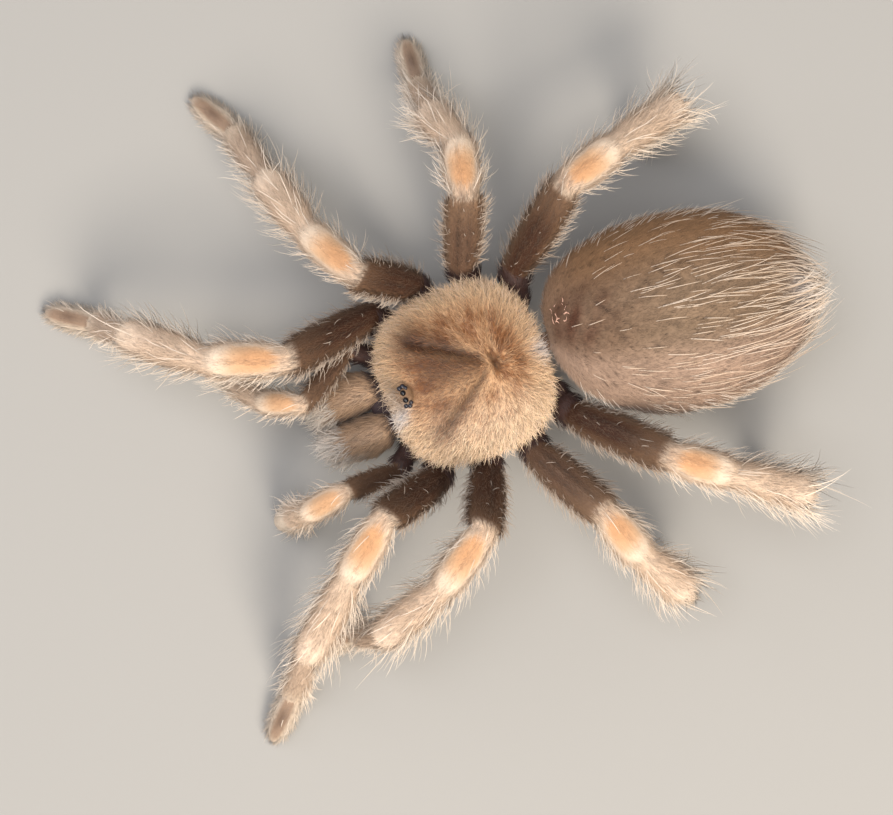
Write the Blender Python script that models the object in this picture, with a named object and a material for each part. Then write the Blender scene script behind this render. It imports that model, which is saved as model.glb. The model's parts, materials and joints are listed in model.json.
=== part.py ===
"""Red knee tarantula, a subadult standing with its knees raised.

Every size comes from the length of the carapace.  The spider faces -Y, its left
side is +X and its feet stand on z = 0.  All sizes include the hair, and each
sub-part is one closed solid that keeps a thin gap to its neighbours.
"""
import math
from dataclasses import dataclass

import bmesh
import bpy
from mathutils import Vector

MM = 0.001

# Driving dimensions, in metres.  Places are measured from the pit (fovea) in
# the middle of the carapace, with z counted from the floor.
CARAPACE_LENGTH = 15.0 * MM
CARAPACE_HALF_WIDTH = 7.75 * MM
CARAPACE_CENTRE_Y = -2.9 * MM
CARAPACE_SQUARENESS = 2.8
CARAPACE_UNDERSIDE = 7.3 * MM
CARAPACE_EDGE = 0.5 * MM
CARAPACE_DOME = 3.1 * MM
HEAD_RISE = 0.9 * MM
HEAD_CENTRE_Y = -5.5 * MM
HEAD_SPREAD = 4.2 * MM
# Powers and factors of the dome's outline, flatter over the head than behind.
DOME_FLATNESS = 2.2
HEAD_FLATNESS = 3.4
DOME_BLUNTNESS = 0.62
HEAD_NARROWING = 0.75
HEAD_EDGE_POWER = 6

CARAPACE_SIDES = 28
CARAPACE_SHARES = (1.0, 1.0, 0.985, 0.93, 0.84, 0.72, 0.56, 0.38, 0.2, 0.07)

GAP = 0.3 * MM
EYE_GAP = 0.04 * MM

TUBERCLE_CENTRE = Vector((0.0, -8.5, 11.0)) * MM
TUBERCLE_SIZE = Vector((1.15, 0.75, 0.62)) * MM
FRONT_EYE = (0.33, -0.12, 0.24)
SIDE_EYES = ((0.81, -0.27, 0.22), (0.90, 0.05, 0.22), (0.68, 0.24, 0.19))

# The abdomen turns to the spider's left from its front end to its middle.
ABDOMEN_FRONT = Vector((-0.45, 5.0, 8.7)) * MM
ABDOMEN_REAR = Vector((4.5, 28.5, 9.0)) * MM
ABDOMEN_HALF_WIDTH = 9.1 * MM
ABDOMEN_HALF_HEIGHT = 7.6 * MM
FRONT_TURN = math.radians(4.6)
REAR_TURN = math.radians(13.8)
ABDOMEN_STEPS = 15
ABDOMEN_SIDES = 24
POLE_SHARE = 0.035
BLUNTNESS = 0.84
PEDICEL_START = Vector((0.0, 4.4, 5.4)) * MM
PEDICEL_END = Vector((0.3, 8.5, 6.6)) * MM
PEDICEL_RADIUS = 1.0 * MM

CHELICERA_START = -10.5 * MM
CHELICERA_END = -17.4 * MM
CHELICERA_HALF_WIDTH = 1.98 * MM
CHELICERA_HALF_HEIGHT = 2.5 * MM
CHELICERA_HEIGHT = 5.5 * MM
CHELICERA_DROOP = 0.9 * MM
CHELICERA_SHAPE = (
    (0.0, 0.7, 0.6), (0.1, 0.86, 0.88), (0.3, 0.98, 1.0), (0.6, 0.97, 0.95),
    (0.8, 0.86, 0.82), (0.93, 0.62, 0.58), (1.0, 0.32, 0.3),
)
# How far the jaws' middle keeps out where they narrow, their depth below the
# middle as a share of the height above it, and the power of their outline.
CHELICERA_KEEP = 0.35
CHELICERA_FLATNESS = 0.9
CHELICERA_SQUARENESS = 2.3
CHELICERA_SIDES = 16
FANG_LENGTH = 4.2 * MM
FANG_RADIUS = 0.55 * MM
FANG_HEIGHT = 2.2 * MM
FANG_BOW = 0.5 * MM
FANG_STEPS = 5
FANG_SPREAD = 2.2 * MM
FANG_CONVERGENCE = 0.7 * MM
FANG_SETBACK = 1.2 * MM
FANG_LEAN = 0.15
FANG_PITCH = 0.3
FANG_TAPER = 0.5
FANG_SIDES = 8

# The spinnerets' base lies under the abdomen's rear end.  The finger shape is
# the share of the way out and the radius in millimetres.
SPINNERET_SETBACK = 1.8 * MM
SPINNERET_DROP = 5.65 * MM
SPINNERET_BASE = Vector((1.35, 0.65, 0.6)) * MM
SPINNERET_LENGTH = 2.7 * MM
SPINNERET_OFFSET = 0.8 * MM
SPINNERET_SPLAY = 0.2
SPINNERET_SHAPE = ((0.0, 0.6), (0.3, 0.62), (0.62, 0.5), (0.9, 0.36), (1.0, 0.25))

STERNUM_UNDERSIDE = 3.0 * MM
STERNUM_SETBACK = 0.5 * MM
STERNUM_SQUARENESS = 2.4
STERNUM_SIDES = 20
STERNUM_LEVELS = ((-1.0, 0.55), (-0.7, 0.74), (0.0, 0.8), (1.0, 0.84))
COXA_RADIUS = 1.65 * MM
PALP_COXA_RADIUS = 1.19 * MM
COXA_REACH = 4.6 * MM
PALP_COXA_REACH = 6.2 * MM
COXA_INNER_SHARE = 0.8
COXA_RISE = 0.75
ELBOW_REACH = 1.7 * MM
ELBOW_RISE = 0.3 * MM
TROCHANTER_TILT = 0.55
LEG_BASE_HEIGHT = 5.5 * MM
PALP_BASE_HEIGHT = 4.9 * MM
ANKLE_HEIGHT = 1.6 * MM
TOE_HEIGHT = 0.72 * MM
PALP_TOE_HEIGHT = -0.05 * MM

LEG_SIDES = 10
SEGMENT_NAMES = ("femur", "patella", "tibia", "metatarsus", "tarsus")
PALP_SEGMENT_NAMES = ("femur", "patella", "tibia", "tarsus")

# Half widths of the leg segments, hair included, and the share of the width
# that is left at a joint.
LEG_HALF_WIDTHS = tuple(width * MM for width in (2.0, 1.85, 1.8, 1.45, 1.2))
PALP_HALF_WIDTHS = tuple(width * MM for width in (1.3, 1.4, 1.35, 1.15))
JOINT_WAIST = 0.8
BARREL = ((0.0, JOINT_WAIST), (0.16, 0.96), (0.5, 1.0), (0.84, 0.96), (1.0, JOINT_WAIST))
TOE = ((0.0, 0.82), (0.3, 1.0), (0.68, 0.98), (0.92, 0.72), (1.0, 0.34))
LIMB_TALLNESS = 1.05

# Segment lengths as shares of the carapace length, for each pair of legs.
LEG_LENGTHS = {
    1: (0.77, 0.47, 0.625, 0.54, 0.34),
    2: (0.67, 0.44, 0.525, 0.535, 0.35),
    3: (0.70, 0.34, 0.385, 0.505, 0.31),
    4: (0.84, 0.37, 0.505, 0.675, 0.35),
}
PALP_LENGTHS = (0.60, 0.35, 0.37, 0.31)
LEG_BASES = {1: (7.9, -8.7), 2: (9.0, -4.2), 3: (9.0, 0.5), 4: (7.0, 4.9)}
PALP_BASE = (5.95, -11.8)


@dataclass(frozen=True)
class Stance:
    """How one limb stands.

    Headings turn each segment outward from straight ahead, pitches raise the
    first three segments above the level, both in degrees.  The remaining
    segments come down to the floor by themselves.
    """

    headings: tuple
    pitches: tuple
    folded_under: bool = False


LEG_STANCES = {
    ("right", 1): Stance((-8, 21, 39, 40, 35), (45, -5, -28)),
    ("right", 2): Stance((29, 63, 74, 76, 63), (61, -28, -32)),
    ("right", 3): Stance((114, 105, 75, 93, 96), (57, -24, -45)),
    ("right", 4): Stance((143, 163, 166, 169, 166), (52, -11, -24), True),
    ("left", 1): Stance((13, 37, 40, 46, 44), (62, -26, -28)),
    ("left", 2): Stance((63, 33, 19, -12, -2), (61, -16, -25)),
    ("left", 3): Stance((116, 109, 119, 117, 116), (43, -11, -28), True),
    ("left", 4): Stance((133, 142, 144, 142, 139), (46, -9, -18), True),
}
PALP_STANCES = {
    "right": Stance((-32, 24, 55, 55), (47, -40)),
    "left": Stance((-2, 8, 0, 0), (60, -36)),
}

COLOURS = {
    "carapace": (0.43, 0.25, 0.11),
    "underside": (0.07, 0.04, 0.032),
    "abdomen": (0.26, 0.17, 0.12),
    "chelicera": (0.30, 0.22, 0.14),
    "fang": (0.008, 0.006, 0.005),
    "eye": (0.006, 0.006, 0.008),
    "femur": (0.11, 0.065, 0.04),
    "patella": (0.80, 0.40, 0.17),
    "tibia": (0.47, 0.35, 0.24),
    "metatarsus": (0.40, 0.30, 0.21),
    "tarsus": (0.34, 0.26, 0.18),
    "spinnerets": (0.15, 0.10, 0.075),
}
ROUGHNESS = {"fang": 0.25, "eye": 0.08}
HAIR_ROUGHNESS = 0.85


def clear_scene():
    """Remove every object of the open file."""
    for item in list(bpy.data.objects):
        bpy.data.objects.remove(item, do_unlink=True)


def finish_material(kind):
    """Return the material of one kind of surface, making it the first time."""
    name = "spider_" + kind
    material = bpy.data.materials.get(name)
    if material is None:
        material = bpy.data.materials.new(name)
        material.use_nodes = True
        shader = material.node_tree.nodes["Principled BSDF"]
        shader.inputs["Base Color"].default_value = (*COLOURS[kind], 1.0)
        shader.inputs["Roughness"].default_value = ROUGHNESS.get(kind, HAIR_ROUGHNESS)
        shader.inputs["Metallic"].default_value = 0.0
    return material


def add_object(name, bm, kind):
    """Turn a bmesh into a named, smooth-shaded object of the scene."""
    bmesh.ops.recalc_face_normals(bm, faces=bm.faces)
    mesh = bpy.data.meshes.new(name)
    bm.to_mesh(mesh)
    bm.free()
    mesh.shade_smooth()
    mesh.set_sharp_from_angle(angle=math.radians(50.0))
    mesh.materials.append(finish_material(kind))
    item = bpy.data.objects.new(name, mesh)
    bpy.context.scene.collection.objects.link(item)
    return item


def apply_boolean(target, cutter, operation):
    """Union or cut the target with another object, which is then removed."""
    modifier = target.modifiers.new(operation.lower(), "BOOLEAN")
    modifier.operation = operation
    modifier.solver = "EXACT"
    modifier.object = cutter
    graph = bpy.context.evaluated_depsgraph_get()
    merged = bpy.data.meshes.new_from_object(target.evaluated_get(graph))
    target.modifiers.clear()
    old = target.data
    target.data = merged
    bpy.data.meshes.remove(old)
    bpy.data.objects.remove(cutter, do_unlink=True)


def direction(side, heading, pitch):
    """Unit vector for a heading (degrees outward from ahead) and a pitch."""
    turn = math.radians(heading)
    rise = math.radians(pitch)
    level = math.cos(rise)
    return Vector((side * math.sin(turn) * level, -math.cos(turn) * level, math.sin(rise)))


def side_axis(side, heading):
    """Level unit vector to the spider's left of a heading."""
    turn = math.radians(heading)
    return Vector((math.cos(turn), side * math.sin(turn), 0.0))


@dataclass(frozen=True)
class Ring:
    """One cross-section of a lofted body."""

    centre: Vector
    normal: Vector
    across: Vector
    half_width: float
    rise: float
    drop: float
    squareness: float = 2.0

    def point(self, angle):
        """Point of the rim at an angle, counted from the left side upward."""
        across = (self.across - self.normal * self.across.dot(self.normal)).normalized()
        upward = self.normal.cross(across)
        exponent = 2.0 / self.squareness
        wide = math.copysign(abs(math.cos(angle)) ** exponent, math.cos(angle))
        high = math.copysign(abs(math.sin(angle)) ** exponent, math.sin(angle))
        reach = self.rise if high > 0.0 else self.drop
        return self.centre + across * wide * self.half_width + upward * high * reach


def round_ring(centre, normal, across, radius):
    """A circular cross-section."""
    return Ring(centre, normal, across, radius, radius, radius)


def extruded_body(sides, count, place):
    """Closed body whose end face is extruded through a number of rings.

    The function place gives the point of ring number i at an angle.
    """
    bm = bmesh.new()
    spoke = bm.verts.layers.float.new("spoke")
    bmesh.ops.create_circle(bm, cap_ends=True, segments=sides, radius=1.0)
    for vert in bm.verts:
        vert[spoke] = math.atan2(vert.co.y, vert.co.x)
    bm.faces.ensure_lookup_table()
    end_face = bm.faces[0]
    for index in range(count):
        if index > 0:
            grown = bmesh.ops.extrude_face_region(bm, geom=[end_face])["geom"]
            if index > 1:
                bmesh.ops.delete(bm, geom=[end_face], context="FACES_ONLY")
            end_face = next(part for part in grown if isinstance(part, bmesh.types.BMFace))
        for vert in end_face.verts:
            vert.co = place(index, vert[spoke])
    return bm


def loft(rings, sides):
    """Closed body through a row of rings."""
    return extruded_body(sides, len(rings), lambda index, angle: rings[index].point(angle))


def reshaped_sphere(around, along, reshape):
    """Closed body from a unit sphere whose points a function moves."""
    bm = bmesh.new()
    bmesh.ops.create_uvsphere(bm, u_segments=around, v_segments=along, radius=1.0)
    for vert in bm.verts:
        vert.co = reshape(vert.co)
    return bm


def ball(centre, size, around=8, along=6):
    """Ellipsoid with its half sizes in a vector."""
    return reshaped_sphere(around, along, lambda p: centre + Vector(p[i] * size[i] for i in range(3)))


def carapace_point(angle, share):
    """Point of the carapace's shell at a share of the way out to its edge."""
    aside = math.cos(angle)
    along = math.sin(angle)
    wide = (abs(aside) / CARAPACE_HALF_WIDTH) ** CARAPACE_SQUARENESS
    deep = (abs(along) / (CARAPACE_LENGTH / 2)) ** CARAPACE_SQUARENESS
    reach = share * (wide + deep) ** (-1.0 / CARAPACE_SQUARENESS)
    x = aside * reach
    y = CARAPACE_CENTRE_Y + along * reach
    flatness = DOME_FLATNESS + HEAD_FLATNESS * max(-along, 0.0) ** 2
    dome = CARAPACE_DOME * max(1.0 - share ** flatness, 0.0) ** DOME_BLUNTNESS
    away = math.hypot(x, HEAD_NARROWING * (y - HEAD_CENTRE_Y)) / HEAD_SPREAD
    head = HEAD_RISE * math.exp(-away ** 2) * (1.0 - share ** HEAD_EDGE_POWER)
    return Vector((x, y, CARAPACE_UNDERSIDE + CARAPACE_EDGE + dome + head))


def build_carapace():
    """The shield of the front body, with the eye tubercle and its sockets."""

    def place(index, angle):
        point = carapace_point(angle, CARAPACE_SHARES[index])
        if index == 0:
            point.z = CARAPACE_UNDERSIDE
        return point

    shield = extruded_body(CARAPACE_SIDES, len(CARAPACE_SHARES), place)
    carapace = add_object("carapace", shield, "carapace")
    hill = add_object("tubercle", ball(TUBERCLE_CENTRE, TUBERCLE_SIZE, 14, 8), "carapace")
    apply_boolean(carapace, hill, "UNION")
    for centre, radius in eye_places():
        socket = add_object("socket", ball(centre, [radius + EYE_GAP] * 3), "carapace")
        apply_boolean(carapace, socket, "DIFFERENCE")


def tubercle_surface(x, y):
    """Point of the eye tubercle's top above an offset from its centre."""
    share = (x / TUBERCLE_SIZE.x) ** 2 + (y / TUBERCLE_SIZE.y) ** 2
    height = TUBERCLE_SIZE.z * math.sqrt(max(1.0 - share, 0.0))
    return TUBERCLE_CENTRE + Vector((x, y, height))


def eye_places():
    """Centres and radii of all eight eyes."""
    places = []
    for side in (1, -1):
        for x, y, radius in (FRONT_EYE, *SIDE_EYES):
            places.append((tubercle_surface(side * x * MM, y * MM), radius * MM))
    return places


def build_eyes():
    """The two front middle eyes and the two clusters of three side eyes."""
    places = eye_places()
    for index, side_name in enumerate(("left", "right")):
        front, *cluster = places[index * 4:index * 4 + 4]
        add_object("eye_front_" + side_name, ball(front[0], [front[1]] * 3), "eye")
        group = None
        for centre, radius in cluster:
            eye = add_object("eyes_side_" + side_name, ball(centre, [radius] * 3), "eye")
            if group is None:
                group = eye
            else:
                apply_boolean(group, eye, "UNION")


def limb_rings(start, end, normals, across, half_width, shape):
    """Rings along one straight leg segment between its two joint planes."""
    rings = []
    for share, swell in shape:
        normal = normals[0].lerp(normals[1], share).normalized()
        centre = start.lerp(end, share)
        size = half_width * swell
        tall = size * LIMB_TALLNESS
        rings.append(Ring(centre, normal, across, size, tall, tall))
    return rings


def cut_sole(bm):
    """Cut the body flat at the floor and close it there."""
    cut = bmesh.ops.bisect_plane(
        bm, geom=bm.verts[:] + bm.edges[:] + bm.faces[:], dist=0.005 * MM,
        plane_co=(0, 0, 0), plane_no=(0, 0, -1), clear_outer=True,
    )
    rim = [part for part in cut["geom_cut"] if isinstance(part, bmesh.types.BMEdge)]
    for vert in {vert for edge in rim for vert in edge.verts}:
        vert.co.z = 0.0
    bmesh.ops.contextual_create(bm, geom=rim)


def stand_on_floor(side, base, lengths, stance):
    """Joint places of one limb, from its base down to the tip of its toe."""
    joints = [base]
    for length, heading, pitch in zip(lengths, stance.headings, stance.pitches):
        joints.append(joints[-1] + direction(side, heading, pitch) * length)
    if len(lengths) == len(SEGMENT_NAMES):
        heights = (ANKLE_HEIGHT, TOE_HEIGHT)
    else:
        below = joints[-1].z - PALP_TOE_HEIGHT
        share = lengths[-2] / (lengths[-2] + lengths[-1])
        heights = (joints[-1].z - below * share, PALP_TOE_HEIGHT)
    for index, height in enumerate(heights):
        number = len(joints) - 1
        drop = (joints[-1].z - height) / lengths[number]
        pitch = -math.degrees(math.asin(drop))
        if stance.folded_under and index == 0:
            pitch = -180.0 - pitch
        way = direction(side, stance.headings[number], pitch)
        joints.append(joints[-1] + way * lengths[number])
    return joints


def build_limb(prefix, side, joints, headings, half_widths, names, base_normal):
    """All segments of a leg or palp, each a closed barrel between its joints."""
    ways = [(far - near).normalized() for near, far in zip(joints, joints[1:])]
    normals = [(base_normal + ways[0]).normalized()]
    normals += [(before + after).normalized() for before, after in zip(ways, ways[1:])]
    normals.append(ways[-1])
    last = len(names) - 1
    for index, name in enumerate(names):
        start = joints[index] + normals[index] * (GAP / 2)
        end = joints[index + 1]
        if index < last:
            end = end - normals[index + 1] * (GAP / 2)
        shape = TOE if index == last else BARREL
        across = side_axis(side, headings[index])
        pair = (normals[index], normals[index + 1])
        rings = limb_rings(start, end, pair, across, half_widths[index], shape)
        bm = loft(rings, LEG_SIDES)
        if index == last:
            cut_sole(bm)
        add_object(prefix + "_" + name, bm, name)


def limb_bases():
    """Side, number and base point of every leg, with palps as number 0."""
    places = {0: (*PALP_BASE, PALP_BASE_HEIGHT)}
    for number, (x, y) in LEG_BASES.items():
        places[number] = (x, y, LEG_BASE_HEIGHT)
    bases = []
    for side_name, side in (("left", 1), ("right", -1)):
        for number, (x, y, height) in places.items():
            bases.append((side_name, side, number, Vector((side * x * MM, y * MM, height))))
    return bases


def coxa_way(base):
    """Level direction from the sternum's middle towards a limb's base."""
    centre = Vector((0.0, 0.35 * base.y, 0.0))
    way = Vector((base.x, base.y, 0.0)) - centre
    return way.normalized()


def coxa_end_normal(base):
    """Direction of the trochanter where the first leg segment joins it."""
    return (coxa_way(base) + Vector((0.0, 0.0, TROCHANTER_TILT))).normalized()


def build_limbs():
    """The eight legs and the two palps."""
    for side_name, side, number, base in limb_bases():
        if number == 0:
            stance = PALP_STANCES[side_name]
            lengths = [share * CARAPACE_LENGTH for share in PALP_LENGTHS]
            widths, names = PALP_HALF_WIDTHS, PALP_SEGMENT_NAMES
            prefix = "palp_" + side_name
        else:
            stance = LEG_STANCES[(side_name, number)]
            lengths = [share * CARAPACE_LENGTH for share in LEG_LENGTHS[number]]
            widths, names = LEG_HALF_WIDTHS, SEGMENT_NAMES
            prefix = "leg_" + side_name + "_" + str(number)
        joints = stand_on_floor(side, base, lengths, stance)
        build_limb(prefix, side, joints, stance.headings, widths, names, coxa_end_normal(base))


def build_sternum():
    """The sternum and the body wall that rises from it to the shield."""
    top = CARAPACE_UNDERSIDE - GAP
    middle = (top + STERNUM_UNDERSIDE) / 2
    depth = (top - STERNUM_UNDERSIDE) / 2
    upward = Vector((0.0, 0.0, 1.0))
    left = Vector((1.0, 0.0, 0.0))
    rings = []
    for level, share in STERNUM_LEVELS:
        centre = Vector((0.0, CARAPACE_CENTRE_Y + STERNUM_SETBACK, middle + level * depth))
        wide = CARAPACE_HALF_WIDTH * share
        long = (CARAPACE_LENGTH / 2) * share
        rings.append(Ring(centre, upward, left, wide, long, long, STERNUM_SQUARENESS))
    return add_object("sternum_and_coxae", loft(rings, STERNUM_SIDES), "underside")


def coxa_rings(side_name, side, number, base):
    """Cross-sections of one coxa with its trochanter."""
    way = coxa_way(base)
    across = Vector((-way.y, way.x, 0.0))
    if number == 0:
        radius, reach, limb_width = PALP_COXA_RADIUS, PALP_COXA_REACH, PALP_HALF_WIDTHS[0]
    else:
        radius, reach, limb_width = COXA_RADIUS, COXA_REACH, LEG_HALF_WIDTHS[0]
    inner = base - way * reach
    inner.z = STERNUM_UNDERSIDE + COXA_RISE * radius
    elbow = base - way * ELBOW_REACH
    elbow.z = inner.z + ELBOW_RISE
    end_normal = (coxa_end_normal(base) + first_way(side_name, side, number)).normalized()
    end = base - end_normal * (GAP / 2)
    end_radius = JOINT_WAIST * limb_width
    end_height = end_radius * LIMB_TALLNESS
    elbow_normal = (way + end_normal * 0.5).normalized()
    return [
        round_ring(inner, way, across, COXA_INNER_SHARE * radius),
        round_ring(elbow, elbow_normal, across, radius),
        Ring(end, end_normal, across, end_radius, end_height, end_height),
    ]


def build_underside():
    """Sternum with the ten coxae and trochanters that grow from it."""
    underside = build_sternum()
    for side_name, side, number, base in limb_bases():
        rings = coxa_rings(side_name, side, number, base)
        coxa = add_object("coxa", loft(rings, LEG_SIDES), "underside")
        apply_boolean(underside, coxa, "UNION")


def first_way(side_name, side, number):
    """Direction of a limb's first segment."""
    stance = LEG_STANCES[(side_name, number)] if number else PALP_STANCES[side_name]
    return direction(side, stance.headings[0], stance.pitches[0])


def build_chelicerae():
    """The two jaw segments in front of the shield."""
    ahead = Vector((0.0, -1.0, 0.0))
    left = Vector((1.0, 0.0, 0.0))
    for side_name, side in (("left", 1), ("right", -1)):
        rings = []
        for share, wide, high in CHELICERA_SHAPE:
            half_width = CHELICERA_HALF_WIDTH * wide
            rise = CHELICERA_HALF_HEIGHT * high
            x = side * (GAP / 2 + CHELICERA_HALF_WIDTH * (CHELICERA_KEEP + (1.0 - CHELICERA_KEEP) * wide))
            y = CHELICERA_START + (CHELICERA_END - CHELICERA_START) * share
            z = CHELICERA_HEIGHT - CHELICERA_DROOP * share
            drop = rise * CHELICERA_FLATNESS
            rings.append(Ring(Vector((x, y, z)), ahead, left, half_width, rise, drop, CHELICERA_SQUARENESS))
        add_object("chelicera_" + side_name, loft(rings, CHELICERA_SIDES), "chelicera")


def build_fangs():
    """The two fangs folded back beneath the jaws."""
    left = Vector((1.0, 0.0, 0.0))
    for side_name, side in (("left", 1), ("right", -1)):
        rings = []
        for step in range(FANG_STEPS + 1):
            share = step / FANG_STEPS
            x = side * (FANG_SPREAD - FANG_CONVERGENCE * share)
            y = CHELICERA_END + FANG_SETBACK + FANG_LENGTH * share
            z = FANG_HEIGHT - FANG_BOW * math.sin(math.pi * share)
            pitch = -FANG_PITCH * math.cos(math.pi * share)
            way = Vector((-FANG_LEAN * side, 1.0, pitch)).normalized()
            radius = FANG_RADIUS * (1.0 - FANG_TAPER * share)
            rings.append(round_ring(Vector((x, y, z)), way, left, radius))
        add_object("fang_" + side_name, loft(rings, FANG_SIDES), "fang")


def abdomen_directions(share):
    """Backward and leftward unit vectors at a share of the abdomen's length."""
    turn = FRONT_TURN + (REAR_TURN - FRONT_TURN) * min(2.0 * share, 1.0)
    back = Vector((math.sin(turn), math.cos(turn), 0.0))
    left = Vector((math.cos(turn), -math.sin(turn), 0.0))
    return back, left


def build_abdomen():
    """The abdomen with the pedicel that ties it to the front body."""
    rings = []
    for step in range(ABDOMEN_STEPS):
        angle = math.pi * (POLE_SHARE + (1.0 - 2.0 * POLE_SHARE) * step / (ABDOMEN_STEPS - 1))
        share = 0.5 - 0.5 * math.cos(angle)
        back, left = abdomen_directions(share)
        swell = math.sin(angle) ** BLUNTNESS
        centre = ABDOMEN_FRONT.lerp(ABDOMEN_REAR, share)
        half_height = ABDOMEN_HALF_HEIGHT * swell
        rings.append(Ring(centre, back, -left, ABDOMEN_HALF_WIDTH * swell, half_height, half_height))
    abdomen = add_object("abdomen", loft(rings, ABDOMEN_SIDES), "abdomen")
    way = (PEDICEL_END - PEDICEL_START).normalized()
    left = Vector((1.0, 0.0, 0.0))
    stalk = [round_ring(place, way, left, PEDICEL_RADIUS) for place in (PEDICEL_START, PEDICEL_END)]
    apply_boolean(abdomen, add_object("pedicel", loft(stalk, LEG_SIDES), "abdomen"), "UNION")


def build_spinnerets():
    """The pair of jointed spinnerets on one short base behind the abdomen."""
    back, left = abdomen_directions(1.0)
    root = ABDOMEN_REAR - back * SPINNERET_SETBACK
    root.z -= SPINNERET_DROP
    base = add_object("spinnerets", ball(root, SPINNERET_BASE, 12, 6), "spinnerets")
    for side in (1, -1):
        way = (back + left * side * SPINNERET_SPLAY).normalized()
        start = root + left * side * SPINNERET_OFFSET
        rings = []
        for share, radius in SPINNERET_SHAPE:
            centre = start + way * SPINNERET_LENGTH * share
            rings.append(round_ring(centre, way, -left, radius * MM))
        finger = add_object("finger", loft(rings, LEG_SIDES), "spinnerets")
        apply_boolean(base, finger, "UNION")


def centre_on_floor():
    """Hang all pieces on one empty and move the box's middle over the origin."""
    pieces = [item for item in bpy.data.objects if item.type == "MESH"]
    corners = [item.matrix_world @ vert.co for item in pieces for vert in item.data.vertices]
    middle_x = (min(c.x for c in corners) + max(c.x for c in corners)) / 2
    middle_y = (min(c.y for c in corners) + max(c.y for c in corners)) / 2
    origin = bpy.data.objects.new("model_origin", None)
    bpy.context.scene.collection.objects.link(origin)
    for item in pieces:
        item.parent = origin
    origin.location = (-middle_x, -middle_y, 0.0)


def main():
    """Build the whole spider."""
    clear_scene()
    build_carapace()
    build_eyes()
    build_underside()
    build_chelicerae()
    build_fangs()
    build_abdomen()
    build_spinnerets()
    build_limbs()
    centre_on_floor()


main()
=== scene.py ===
"""Red knee tarantula: the skin, shell, eyes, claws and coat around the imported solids.

The frame gives every joint and outline.  Each limb, the abdomen, each jaw, the shell and
the belly is a Form, a surface addressed by a share along it and an angle round it.  The
skin is modelled from the forms and joined to one body.  The coat grows from the same
forms, so that skin and coat carry one set of markings.
"""

import json
import logging
import math
from collections.abc import Callable
from dataclasses import dataclass
from enum import Enum

import bmesh
import bpy
import numpy as np
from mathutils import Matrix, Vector

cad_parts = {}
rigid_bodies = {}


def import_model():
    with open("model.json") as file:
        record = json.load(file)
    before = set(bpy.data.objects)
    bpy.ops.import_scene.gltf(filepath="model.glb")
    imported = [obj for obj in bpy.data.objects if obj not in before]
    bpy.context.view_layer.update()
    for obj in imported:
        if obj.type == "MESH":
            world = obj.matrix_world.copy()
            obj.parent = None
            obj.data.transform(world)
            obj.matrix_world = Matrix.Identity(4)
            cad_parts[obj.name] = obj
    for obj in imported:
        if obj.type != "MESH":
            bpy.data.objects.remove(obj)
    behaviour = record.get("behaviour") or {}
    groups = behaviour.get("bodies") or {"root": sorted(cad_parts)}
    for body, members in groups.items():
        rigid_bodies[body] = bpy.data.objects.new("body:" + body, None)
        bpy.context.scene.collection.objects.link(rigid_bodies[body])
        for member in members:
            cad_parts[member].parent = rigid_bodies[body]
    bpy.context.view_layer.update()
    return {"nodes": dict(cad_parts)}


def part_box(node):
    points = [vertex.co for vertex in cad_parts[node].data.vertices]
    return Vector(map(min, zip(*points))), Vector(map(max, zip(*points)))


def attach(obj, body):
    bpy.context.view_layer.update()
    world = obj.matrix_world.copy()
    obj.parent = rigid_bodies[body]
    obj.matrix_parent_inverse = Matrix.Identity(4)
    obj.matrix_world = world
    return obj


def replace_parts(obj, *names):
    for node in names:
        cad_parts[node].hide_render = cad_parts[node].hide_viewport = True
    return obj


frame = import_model()

Array = np.ndarray
MM = 0.001
UP = np.array((0.0, 0.0, 1.0))
SIDES = ((1, "left"), (-1, "right"))
FLOOR_CLEARANCE = 0.03 * MM
PIT_BACK = 2.9 * MM
COAT_LAYER = "coat_tint"
CAP_SIDES = 10
WAVES = 5
WAVE_SPREAD = 3.0
log = logging.getLogger("tarantula")


def linear(hex_colour: str) -> Array:
    """Turn an sRGB hex colour into linear red, green and blue."""
    parts = np.array([int(hex_colour[at:at + 2], 16) for at in (0, 2, 4)]) / 255.0
    return np.where(parts <= 0.04045, parts / 12.92, ((parts + 0.055) / 1.055) ** 2.4)


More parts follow.
